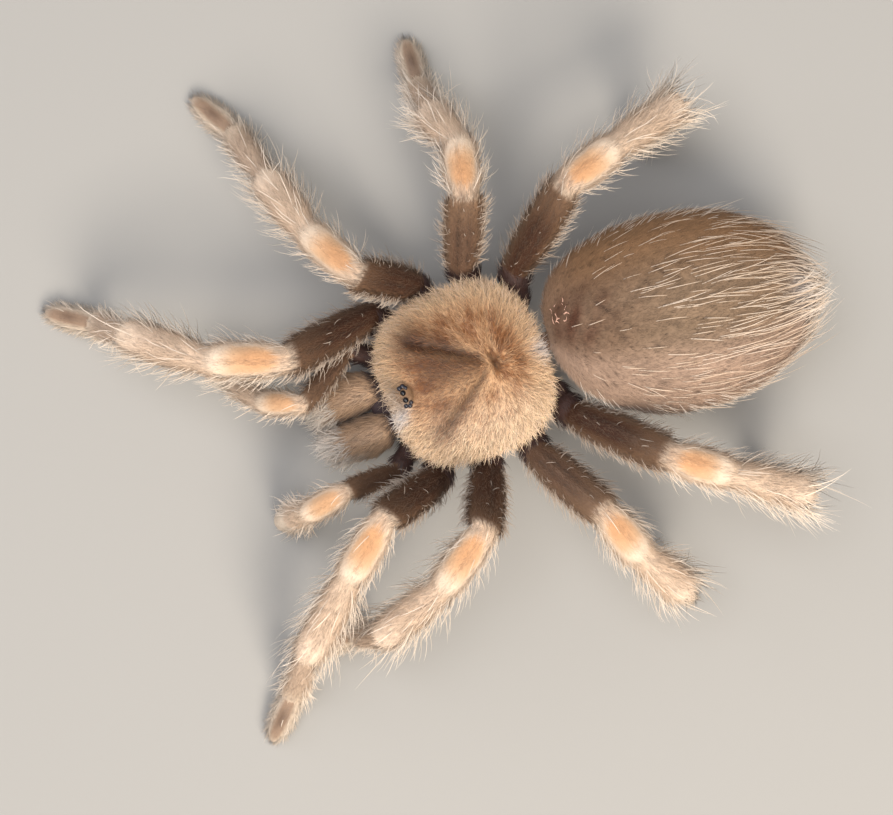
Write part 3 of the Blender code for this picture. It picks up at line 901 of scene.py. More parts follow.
@dataclass
class Jaw(Tube):
    """The furry base segment of one chelicera."""

    side: float = 1.0

    COAT_DEPTH = 0.2 * MM
    ROOT = 2.1 * MM
    # Shares along the jaw, with the shares of its full width and height there.
    SHAPE = ((0.0, 0.7, 0.6), (0.1, 0.88, 0.88), (0.3, 1.0, 1.0), (0.6, 0.98, 0.96),
             (0.8, 0.9, 0.86), (0.93, 0.7, 0.66), (1.0, 0.4, 0.4))
    DROOP = 0.9 * MM
    STATIONS = 60
    SMOOTHING = 1.6
    SQUARENESS = 2.2

    @classmethod
    def from_frame(cls, side: float) -> "Jaw":
        """Lay one jaw's skin inside its node, with a root that reaches back into the head.

        Args:
            side: 1 for the left one, -1 for the right one.

        Returns:
            The jaw.
        """
        low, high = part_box("chelicera_left" if side > 0 else "chelicera_right")
        length = high.y - low.y
        half_width = (high.x - low.x) / 2 - cls.COAT_DEPTH
        half_height = (high.z - low.z) / 2 - cls.COAT_DEPTH
        share = np.linspace(-cls.ROOT / length, 1.0, cls.STATIONS)
        shares, wide, high_shape = np.array(cls.SHAPE).T
        wide = np.interp(share, shares, wide)
        end = 0.2 + 0.8 * np.sqrt(np.clip((1.0 - share) / 0.1, 0.0, 1.0))
        radii = (half_width * wide * end, half_height * np.interp(share, shares, high_shape) * end)
        inner = low.x if side > 0 else high.x
        x = inner + side * (cls.COAT_DEPTH * 0.5 + half_width * (0.35 + 0.65 * wide))
        y = high.y - share * (length - cls.COAT_DEPTH)
        z = (low.z + high.z) / 2 + cls.DROOP * (0.3 - np.clip(share, 0.0, 1.0))
        return section_tube(
            cls, smoothed(np.stack([x, y, z], axis=1), cls.SMOOTHING), (0.0, -1.0, 0.0), (1.0, 0.0, 0.0),
            [smoothed(radius, cls.SMOOTHING) for radius in radii], squareness=cls.SQUARENESS, side=side,
        )

    def tints(self, along: Array, angle: Array) -> Array:
        """Grey gold, with dark membrane at the root deepened as painted shade, painted shade along the cleft,
        and a pale tip that is partly a painted highlight.

        Args:
            along: Shares along the jaw.
            angle: Angles round it.

        Returns:
            Linear colours.
        """
        outer = self.side * np.cos(angle)
        top = np.sin(angle)
        return paint(
            one_tint(Tint.JAW, along),
            # Dark membrane at the jaw's root, deepened as painted shade under the shield's front.
            (Tint.MEMBRANE, 1.0 - rise(along, 0.24, 0.34)),
            # Painted shade along the cleft between the jaws.
            (Tint.MEMBRANE, 0.5 * rise(-outer, 0.7, 1.0) * (1.0 - rise(along, 0.8, 0.95))),
            # Pale tip on top of each jaw: partly pale hair, partly a painted highlight.
            (Tint.JAW_TIP, rise(along, 0.7, 0.95) * rise(top, -0.5, 0.4)),
            (Tint.JAW_TIP, 0.6 * rise(outer, 0.5, 0.95) * rise(along, 0.45, 0.7)),
            (Tint.COXA, 0.8 * rise(-top, 0.5, 0.9)),
        )


def rounded_oblong(share: Array, angle: Array, form: Form) -> tuple:
    """Offsets from the middle of a disc whose rim is a rounded oblong.

    Args:
        share: Shares from the middle to the rim.
        angle: Angles round the middle.
        form: Holds the oblong's half width, half length and squareness.

    Returns:
        Offsets aside and back.
    """
    aside, back = np.cos(angle), np.sin(angle)
    wide = (np.abs(aside) / form.half_width) ** form.SQUARENESS
    deep = (np.abs(back) / form.half_length) ** form.SQUARENESS
    reach = share * (wide + deep) ** (-1.0 / form.SQUARENESS)
    return aside * reach, back * reach


@dataclass
class Shell(Form):
    """The shield over the front body, seen as a disc from its middle to its rim."""

    centre: Array
    half_width: float
    half_length: float
    low: float
    tubercle: Array

    handed = -1.0
    COAT_DEPTH = 0.4 * MM
    SQUARENESS = 2.8
    EDGE = 0.35 * MM
    DOME = 2.95 * MM
    HEAD_RISE = 0.9 * MM
    HEAD_AHEAD = 5.5 * MM
    HEAD_SPREAD = 4.2 * MM
    TUBERCLE_SIZE = np.array((1.15, 0.75, 0.62)) * MM
    FRONT_EYE = (0.33, -0.12)
    BLEND = 0.05 * MM
    PIT_DEPTH = 0.55 * MM
    GROOVE_DEPTH = 0.3 * MM
    RAY_DEPTH = 0.13 * MM
    RAY_TURNS = (68.0, 100.0, 135.0)
    GROOVE_TURN = math.radians(33.0)
    # Pale whitish spots, in millimetres aside and back from the pit: one ahead of the eyes on the left, one
    # near the rear edge.
    WORN_PLACES = ((1.6, -9.3), (0.4, 3.9))
    WORN_SIZE = 0.8 * MM

    @classmethod
    def from_frame(cls) -> "Shell":
        """Lay the shield inside its node, with its tubercle under the eyes.

        Returns:
            The shield.
        """
        low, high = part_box("carapace")
        eyes = [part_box("eye_front_" + side) for side in ("left", "right")]
        x, y, z = np.mean([(np.array(box[0]) + np.array(box[1])) / 2 for box in eyes], axis=0)
        aside, ahead = np.array(cls.FRONT_EYE) * MM / cls.TUBERCLE_SIZE[:2]
        height = math.sqrt(1.0 - aside ** 2 - ahead ** 2)
        tubercle = np.array((x, y - cls.FRONT_EYE[1] * MM, z - cls.TUBERCLE_SIZE[2] * height))
        return cls(
            centre=(np.array(low) + np.array(high)) / 2, half_width=(high.x - low.x) / 2 - cls.COAT_DEPTH,
            half_length=(high.y - low.y) / 2 - cls.COAT_DEPTH, low=low.z, tubercle=tubercle,
        )

    def offsets(self, points: Array) -> tuple:
        """Sideways and backward offsets of points from the pit."""
        return points[:, 0] - self.centre[0], points[:, 1] - self.centre[1] - PIT_BACK

    def places(self, along: Array, angle: Array) -> Array:
        """Points of the shield's upper side.

        Args:
            along: Shares from the middle to the rim.
            angle: Angles round the middle.

        Returns:
            Points in rows.
        """
        share = np.clip(np.abs(along), 0.0, 1.0)
        x, y = rounded_oblong(along, angle, self)
        flatness = 2.2 + 3.4 * np.maximum(-np.sin(angle), 0.0) ** 2
        dome = self.DOME * np.maximum(1.0 - share ** flatness, 0.0) ** 0.62
        away = np.hypot(x, 0.75 * (y - PIT_BACK + self.HEAD_AHEAD)) / self.HEAD_SPREAD
        head = self.HEAD_RISE * np.exp(-away ** 2) * (1.0 - share ** 6)
        z = self.low + self.EDGE + dome + head - self.relief(x, y - PIT_BACK)
        place = np.stack([x + self.centre[0], y + self.centre[1]], axis=1)
        hill_share = 1.0 - np.sum(((place - self.tubercle[:2]) / self.TUBERCLE_SIZE[:2]) ** 2, axis=1)
        hill = self.tubercle[2] + self.TUBERCLE_SIZE[2] * np.sqrt(np.maximum(hill_share, 0.0))
        z = np.where(hill_share > 0.0, np.logaddexp(z / self.BLEND, hill / self.BLEND) * self.BLEND, z)
        return np.column_stack([place, z])

    def relief(self, x: Array, y: Array) -> Array:
        """Depth of the pit, the two head grooves and the rays of the thorax.

        Args:
            x: Offsets to the left of the pit.
            y: Offsets behind it.

        Returns:
            Depths.
        """
        pit = self.PIT_DEPTH * np.exp(-(x / (0.9 * MM)) ** 2 - (y / (0.35 * MM)) ** 2)
        reach = np.hypot(x, y)
        turn = np.arctan2(np.abs(x), -y)

        def away(line: float) -> Array:
            """Distance from a straight line out of the pit."""
            return reach * np.sin(np.clip(turn - line, -1.5, 1.5))

        groove = self.GROOVE_DEPTH * hump(away(self.GROOVE_TURN), 0.0, 0.45 * MM)
        groove = groove * rise(reach, 0.3 * MM, 2.0 * MM) * (1.0 - rise(reach, 6.5 * MM, 8.5 * MM))
        rays = sum(self.RAY_DEPTH * hump(away(math.radians(line)), 0.0, 0.4 * MM) for line in self.RAY_TURNS)
        rays = rays * rise(reach, 1.0 * MM, 2.5 * MM) * (1.0 - rise(reach, 4.5 * MM, 6.5 * MM))
        return pit + groove + rays

    def lie(self, along: Array, angle: Array) -> Array:
        """Hair fans out from the pit and leans towards the rim.

        Args:
            along: Shares from the middle to the rim.
            angle: Angles round the middle.

        Returns:
            Unit vectors in rows.
        """
        x, y = self.offsets(self.places(along, angle))
        out = unit(np.stack([x, y, np.zeros(len(x))], axis=1))
        normal = self.outward(along, angle)
        return unit(out - normal * np.sum(out * normal, axis=1, keepdims=True))

    def tints(self, along: Array, angle: Array) -> Array:
        """Gold that pales to the rim, brown mottles, painted shade in the grooves and the pit, a left side
        painted paler partly as painted light, and a smoky wedge behind the eyes.

        Args:
            along: Shares from the middle to the rim.
            angle: Angles round the middle.

        Returns:
            Linear colours.
        """
        points = self.places(along, angle)
        x, y = self.offsets(points)
        reach = np.hypot(x, y)
        turn = np.degrees(np.arctan2(np.abs(x), -y))
        patchy = 0.5 + 0.35 * ripple(points, 1.7 * MM, 11) + 0.3 * ripple(points, 0.6 * MM, 12)
        ring = rise(along, 0.15, 0.45) * (1.0 - rise(along, 0.62, 0.82))
        # The left side faces the key light: it is painted paler beige with fewer brown mottles, partly as
        # painted light.
        left = rise(x / MM, 0.5, 5.0)
        wedge = (1.0 - rise(turn, 18.0, 30.0)) * rise(reach, 0.4 * MM, 1.2 * MM)
        wedge = wedge * (1.0 - rise(reach, 5.5 * MM, 8.2 * MM)) * (1.0 - 0.5 * hump(x, 1.2 * MM, 1.0 * MM))
        # Painted shade along the head grooves, wider and darker in the right one, away from the light.
        groove_width = np.where(x < 0.0, 12.0, 7.0) + 5.0 * np.clip(1.0 - reach / (6.0 * MM), 0.0, 1.0)
        groove = hump(turn, math.degrees(self.GROOVE_TURN), groove_width) * np.where(x < 0.0, 0.95, 0.75)
        groove = groove * rise(reach, 0.5 * MM, 1.4 * MM) * (1.0 - rise(reach, 7.5 * MM, 9.5 * MM))
        from_eyes = np.sum(((points[:, :2] - self.tubercle[:2]) / (1.2 * MM)) ** 2, axis=1)
        spots = [np.hypot(x - aside * MM, y - back * MM) for aside, back in self.WORN_PLACES]
        return paint(
            one_tint(Tint.GOLD, along),
            (Tint.BEIGE, 0.9 * left),
            (Tint.GOLD_DEEP, 0.06 + (0.28 + 0.6 * rise(patchy, 0.2, 0.8)) * ring * (1.0 - 0.75 * left)),
            (Tint.GOLD_RIM, 0.9 * rise(along, 0.66, 0.95)),
            (Tint.CAPUT, 0.9 * wedge),
            (Tint.GROOVE, groove),
            # Painted shade in the pit.
            (Tint.GROOVE, 0.9 * hump(x, 0.0, 0.7 * MM) * hump(y, 0.0, 0.45 * MM)),
            (Tint.GROOVE, 0.7 * np.exp(-from_eyes ** 2)),
            *[(Tint.WORN, 0.9 * hump(spot, 0.0, self.WORN_SIZE)) for spot in spots],
        )


@dataclass
class Belly(Form):
    """The sternum plate and the soft wall between it and the shield."""

    centre: Array
    half_width: float
    half_length: float
    low: float
    high: float

    SQUARENESS = 2.4
    # Half its width and length as shares of the shield's.
    WIDE = 0.4
    LONG = 0.42
    SKIN_DEPTH = 0.3 * MM
    # How far the wall reaches up into the shield.
    LAP = 0.35 * MM

    @classmethod
    def from_frame(cls) -> "Belly":
        """Set the belly between the coxae and under the shield.

        Returns:
            The belly.
        """
        low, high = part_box("carapace")
        floor_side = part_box("sternum_and_coxae")[0].z + cls.SKIN_DEPTH
        centre = (np.array(low) + np.array(high)) / 2
        half_width, half_length = (high.x - low.x) * cls.WIDE, (high.y - low.y) * cls.LONG
        return cls(centre, half_width, half_length, floor_side, low.z + cls.LAP)

    def places(self, along: Array, angle: Array) -> Array:
        """Points out from the middle of the sternum and up the wall.

        Args:
            along: Shares from the middle to the top of the wall.
            angle: Angles round the middle.

        Returns:
            Points in rows.
        """
        share = np.interp(along, (0.0, 0.45, 0.55, 1.0), (0.0, 0.6, 0.78, 1.0))
        level = np.interp(along, (0.0, 0.35, 0.5, 0.62, 1.0), (0.0, 0.02, 0.12, 0.35, 1.0))
        x, y = rounded_oblong(share, angle, self)
        z = self.low + level * (self.high - self.low)
        return np.stack([self.centre[0] + x, self.centre[1] + y, z], axis=1)

    def tints(self, along: Array, angle: Array) -> Array:
        """Plain dark brown."""
        return one_tint(Tint.BELLY, along)


@dataclass
class Spinneret(Tube):
    """One of the two jointed spinnerets."""

    SETBACK = 1.8 * MM
    DROP = 5.65 * MM
    LENGTH = 2.55 * MM
    OFFSET = 0.8 * MM
    SPLAY = 0.2
    STATIONS = 30
    ROOT = 0.25
    # Shares along it, with its radius there in millimetres: three joints and a tip.
    SHAPE = ((-0.25, 0.0, 0.27, 0.33, 0.6, 0.66, 0.92, 1.0), (0.38, 0.4, 0.42, 0.36, 0.36, 0.3, 0.2, 0.06))

    @classmethod
    def from_frame(cls, side: float) -> "Spinneret":
        """Lay one spinneret inside the spinnerets' node.

        Args:
            side: 1 for the left one, -1 for the right one.

        Returns:
            The spinneret.
        """
        back, left = Abdomen.directions(np.array(1.0))
        root = pit_place() + Abdomen.REAR - back * cls.SETBACK
        root[2] -= cls.DROP
        share = np.linspace(-cls.ROOT, 1.0, cls.STATIONS)
        way = unit(back + left * side * cls.SPLAY)
        centres = root + left * side * cls.OFFSET + np.outer(cls.LENGTH * share, way)
        radius = np.interp(share, *cls.SHAPE) * MM
        return section_tube(cls, centres, way, -left, (radius, radius))

    def tints(self, along: Array, angle: Array) -> Array:
        """Dusty brown."""
        return one_tint(Tint.VENTRAL, along)


@dataclass
class Stalk(Tube):
    """A short plain link between two parts of the body, or a horn's tapering body."""

    tint: Tint = Tint.HORN

    @classmethod
    def between(cls, start: tuple, end: tuple, radii: tuple, tint: Tint) -> "Stalk":
        """A straight link of one girth, in millimetres.

        Args:
            start: One end, from the pit.
            end: The other end, from the pit.
            radii: Its half width and half height.
            tint: Its colour.

        Returns:
            The link.
        """
        places = pit_place() + np.array((start, end)) * MM
        return section_tube(
            cls, places, places[1] - places[0], (1.0, 0.0, 0.0), np.array(radii) * MM, tint=tint,
        )

    def tints(self, along: Array, angle: Array) -> Array:
        """One plain colour."""
        return one_tint(self.tint, along)


# Links that the skin closes over: both ends from the pit, half width and half height, and tint.
LINKS = {
    "waist": ((0.0, 4.0, 5.4), (0.3, 9.0, 6.8), (0.85, 0.85), Tint.VENTRAL),
    "vent": ((3.6, 24.9, 6.4), (4.2, 27.3, 3.15), (1.1, 0.7), Tint.VENTRAL),
    # The face link: dark membrane under the shield's front, deepened as painted shade.
    "face": ((0.0, -8.2, 5.7), (0.0, -11.6, 5.0), (2.9, 1.5), Tint.MEMBRANE),
}


# ---------------------------------------------------------------- skin


def modelled(form: Form, sides: int, shares: Array) -> bmesh.types.BMesh:
    """Extrude a closed body through rings of a form and paint its markings.

    Args:
        form: The surface.
        sides: Points round each ring.
        shares: Where along the form the rings lie.

    Returns:
        The body as a bmesh.
    """
    bm = bmesh.new()
    spoke = bm.verts.layers.int.new("spoke")
    ring = bm.verts.layers.int.new("ring")
    bmesh.ops.create_circle(bm, cap_ends=True, segments=sides, radius=1.0)
    for vert in bm.verts:
        vert[spoke] = round(math.atan2(vert.co.y, vert.co.x) / (2 * math.pi) * sides) % sides
    bm.faces.ensure_lookup_table()
    end_face = bm.faces[0]
    angles = np.arange(sides) * (2 * math.pi / sides)
    for index, share in enumerate(shares):
        if index > 0:
            grown = bmesh.ops.extrude_face_region(bm, geom=[end_face])["geom"]
            if index > 1:
                bmesh.ops.delete(bm, geom=[end_face], context="FACES_ONLY")
            end_face = next(part for part in grown if isinstance(part, bmesh.types.BMFace))
        points = form.places(np.full(sides, share), angles)
        for vert in end_face.verts:
            vert.co = points[vert[spoke]]
            vert[ring] = index
    bmesh.ops.recalc_face_normals(bm, faces=bm.faces)
    tones = form.tints(np.repeat(shares, sides), np.tile(angles, len(shares)))
    tones = tones.reshape(len(shares), sides, 3)
    colour = bm.loops.layers.float_color.new(COAT_LAYER)
    for face in bm.faces:
        for loop in face.loops:
            loop[colour] = (*tones[loop.vert[ring], loop.vert[spoke]], 1.0)
    return bm


def smooth_mesh(name: str, bm: bmesh.types.BMesh) -> bpy.types.Mesh:
    """Turn a bmesh into a smooth-shaded mesh.

    Args:
        name: The mesh's name.
        bm: Its body, which is freed.

    Returns:
        The mesh.
    """
    mesh = bpy.data.meshes.new(name)
    bm.to_mesh(mesh)
    bm.free()
    mesh.shade_smooth()
    return mesh


def united(name: str, meshes: list) -> bpy.types.Mesh:
    """Join closed meshes to one body without inner walls.

    Args:
        name: The new mesh's name.
        meshes: The parts; the first one takes all others.

    Returns:
        The joined mesh.
    """
    others = bpy.data.collections.new(name + "_parts")
    bpy.context.scene.collection.children.link(others)
    first = bpy.data.objects.new(name + "_first", meshes[0])
    bpy.context.scene.collection.objects.link(first)
    for mesh in meshes[1:]:
        others.objects.link(bpy.data.objects.new(mesh.name, mesh))
    union = first.modifiers.new("union", "BOOLEAN")
    union.operation = "UNION"
    union.solver = "EXACT"
    union.operand_type = "COLLECTION"
    union.collection = others
    graph = bpy.context.evaluated_depsgraph_get()
    joined = bpy.data.meshes.new_from_object(first.evaluated_get(graph))
    joined.name = name
    for item in (first, *others.objects):
        bpy.data.objects.remove(item)
    bpy.data.collections.remove(others)
    return joined


@dataclass
class Skin:
    """The one skin of belly, limbs, jaws, abdomen, spinnerets and the links between them."""

    belly: Belly
    limbs: list
    jaws: list
    abdomen: Abdomen
    spinnerets: list
    links: dict

    LIMB_SIDES = 22
    LIMB_RING = 0.3 * MM
    BELLY_RINGS = (0.06, 0.2, 0.32, 0.42, 0.5, 0.6, 0.72, 0.86, 1.0)

    @staticmethod
    def rings(count: int) -> Array:
        """Evenly spread shares."""
        return np.linspace(0.0, 1.0, count)

    def build(self) -> bpy.types.Object:
        """Model every part, join them and dress the skin.

        Returns:
            The skin.
        """
        parts = [("belly", self.belly, 56, np.array(self.BELLY_RINGS))]
        for limb in self.limbs:
            length = len(limb.centres) * limb.STATION
            parts.append((limb.name, limb, self.LIMB_SIDES, self.rings(int(length / self.LIMB_RING))))
        parts += [("jaw", jaw, 36, self.rings(44)) for jaw in self.jaws]
        eased = 0.5 - 0.5 * np.cos(np.linspace(0.0, math.pi, 90))
        parts.append(("abdomen", self.abdomen, 96, 0.5 * eased + 0.5 * self.rings(90)))
        parts += [(name, link, 24, self.rings(8)) for name, link in self.links.items()]
        parts += [("spinneret", spinneret, 16, self.rings(26)) for spinneret in self.spinnerets]
        mesh = united("skin", [smooth_mesh(name, modelled(*form)) for name, *form in parts])
        mesh.shade_smooth()
        mesh.materials.clear()
        skin = finished_object("skin", mesh, CUTICLE)
        covered = [name for name in frame["nodes"] if not name.startswith(("carapace", "eye", "fang"))]
        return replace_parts(skin, *covered)


@dataclass
class ShieldPlate:
    """The hard shield, a plate of its own over the skin."""

    shell: Shell
    sides: int = 112
    rings: int = 64
    underside: float = 0.12 * MM
    crowding: float = 0.8

    def build(self) -> bpy.types.Object:
        """Model the plate from its flat underside over the rim to the middle.

        Returns:
            The plate.
        """
        shares = np.linspace(1.0, 0.012, self.rings) ** self.crowding
        bm = modelled(self.shell, self.sides, np.concatenate([[1.0, 1.0], shares[1:]]))
        layer = bm.verts.layers.int["ring"]
        for vert in bm.verts:
            if vert[layer] == 0:
                vert.co.z = self.shell.low + self.underside
        bmesh.ops.recalc_face_normals(bm, faces=bm.faces)
        mesh = smooth_mesh("carapace_plate", bm)
        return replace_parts(finished_object(mesh.name, mesh, CUTICLE), "carapace")


@dataclass
class Eyes:
    """Eight eyes on the tubercle: two dark ones in front and three in each side cluster."""

    shell: Shell
    # Offsets aside and back from the tubercle's middle and radius, in millimetres.
    front: tuple = (*Shell.FRONT_EYE, 0.26)
    cluster: tuple = ((0.81, -0.27, 0.23), (0.90, 0.05, 0.23), (0.68, 0.24, 0.2))

    def centre(self, x: float, y: float) -> Vector:
        """Place of an eye on the tubercle.

        Args:
            x: Offset to the left of its middle, in metres.
            y: Offset behind its middle, in metres.

        Returns:
            The place.
        """
        size = self.shell.TUBERCLE_SIZE
        lift = size[2] * math.sqrt(max(1.0 - (x / size[0]) ** 2 - (y / size[1]) ** 2, 0.0))
        return Vector(self.shell.tubercle) + Vector((x, y, lift))

    def group(self, name: str, lenses: tuple, side: int, finish: Finish, node: str) -> None:
        """Model lenses at their places as one piece that stands for a node.

        Args:
            name: The piece's name.
            lenses: Offsets and radius of each lens.
            side: 1 on the left, -1 on the right.
            finish: Their finish.
            node: The node they stand for.
        """
        bm = bmesh.new()
        for x, y, radius in lenses:
            ball = bmesh.ops.create_uvsphere(bm, u_segments=28, v_segments=18, radius=radius * MM)
            bmesh.ops.translate(bm, verts=ball["verts"], vec=self.centre(side * x * MM, y * MM))
        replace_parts(finished_object(name, smooth_mesh(name, bm), finish), node)

    def build(self) -> None:
        """Model all eyes."""
        for side, name in SIDES:
            self.group("front_eye_" + name, (self.front,), side, DARK_LENS, "eye_front_" + name)
            self.group("side_eyes_" + name, self.cluster, side, PEARL_LENS, "eyes_side_" + name)


@dataclass
class HornPiece:
    """Curved tapering horn: the fangs and the claws."""

    points: Array
    radii: Array
    sides: int = 14

    def body(self) -> bmesh.types.BMesh:
        """Extrude a round section along the points.

        Returns:
            The body as a bmesh.
        """
        ways = unit(np.gradient(self.points, axis=0))
        across = unit(np.cross(ways[0], UP + 0.01))
        tube = section_tube(Stalk, self.points, ways, across, (self.radii, self.radii))
        return modelled(tube, self.sides, np.linspace(0.0, 1.0, len(self.points)))


@dataclass
class Fangs:
    """The two fangs folded back beneath the jaws."""

    steps: int = 18
    bow: float = 0.5 * MM
    inset: float = 0.55 * MM
    lean: float = 0.7 * MM
    end_gap: float = 0.05 * MM
    girth: float = 0.5 * MM
    tip: float = 0.015 * MM

    def build(self) -> None:
        """Model both fangs inside their nodes."""
        share = np.linspace(0.0, 1.0, self.steps)
        radii = self.girth * (1.0 - share) ** 0.55 * (1.0 - 0.25 * share) + self.tip
        for side, name in SIDES:
            low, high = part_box("fang_" + name)
            x = (high.x if side > 0 else low.x) - side * (self.inset + self.lean * share)
            y = low.y + self.end_gap + (high.y - low.y - 2 * self.end_gap) * share
            z = high.z - self.inset - self.bow * np.sin(math.pi * share)
            mesh = smooth_mesh("fang_" + name, HornPiece(np.stack([x, y, z], axis=1), radii).body())
            piece = finished_object("fang_horn_" + name, mesh, HORN)
            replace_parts(piece, "fang_" + name)


@dataclass
class Claws:
    """Paired claws at the tip of every foot."""

    limbs: list
    reach: float = 0.5 * MM
    steps: int = 9
    setback: int = 8
    splay: float = 0.35
    gap: float = 0.3 * MM
    arch: float = 0.2 * MM
    drop: float = 0.15 * MM
    lowest: float = 0.12 * MM
    girth: float = 0.09 * MM
    tip: float = 0.006 * MM

    def build(self) -> bpy.types.Object:
        """Model all claws as one piece.

        Returns:
            The piece.
        """
        whole = bmesh.new()
        share = np.linspace(0.0, 1.0, self.steps)
        radii = self.girth * (1.0 - share) ** 0.6 + self.tip
        for limb in self.limbs:
            way = unit(limb.centres[-1] - limb.centres[-12])
            level = unit(np.cross(UP, way))
            for side in (-0.5, 0.5):
                out = way + self.splay * side * level
                points = limb.centres[-self.setback] + np.outer(share * self.reach, out)
                points[:, 2] += self.arch * np.sin(share * 2.4) - self.drop
                points[:, 2] = np.maximum(points[:, 2], self.lowest)
                mesh = smooth_mesh("claw", HornPiece(points + level * side * self.gap, radii).body())
                whole.from_mesh(mesh)
                bpy.data.meshes.remove(mesh)
        return finished_object("claws", smooth_mesh("claws", whole), HORN)


# ---------------------------------------------------------------- coat


@dataclass(frozen=True)
class Hair:
    """One sort of hair.

    Lengths are in metres, angles in degrees.  Lift is the angle off the skin at the root
    and fall how far it leans back by the tip; sway turns it sideways and curl bends it on.
    Clump turns neighbours together, in tufts about as wide as the tuft size.  Root and tip
    each give a factor on the base colour, and how much that varies from hair to hair.  A root
    factor below 1 is partly the hair's own darker base and partly painted shade deep in the coat.
    Count is how many grow on a whole leg or region.
    """

    length: float
    width: float
    lift: float
    fall: float = 0.0
    sway: float = 12.0
    curl: float = 10.0
    joints: int = 2
    uneven: float = 0.25
    flat: float = 0.7
    clump: float = 0.0
    tuft: float = 1.0 * MM
    root: tuple = (1.0, 0.0)
    tip: tuple = (1.0, 0.0)
    count: int = 0


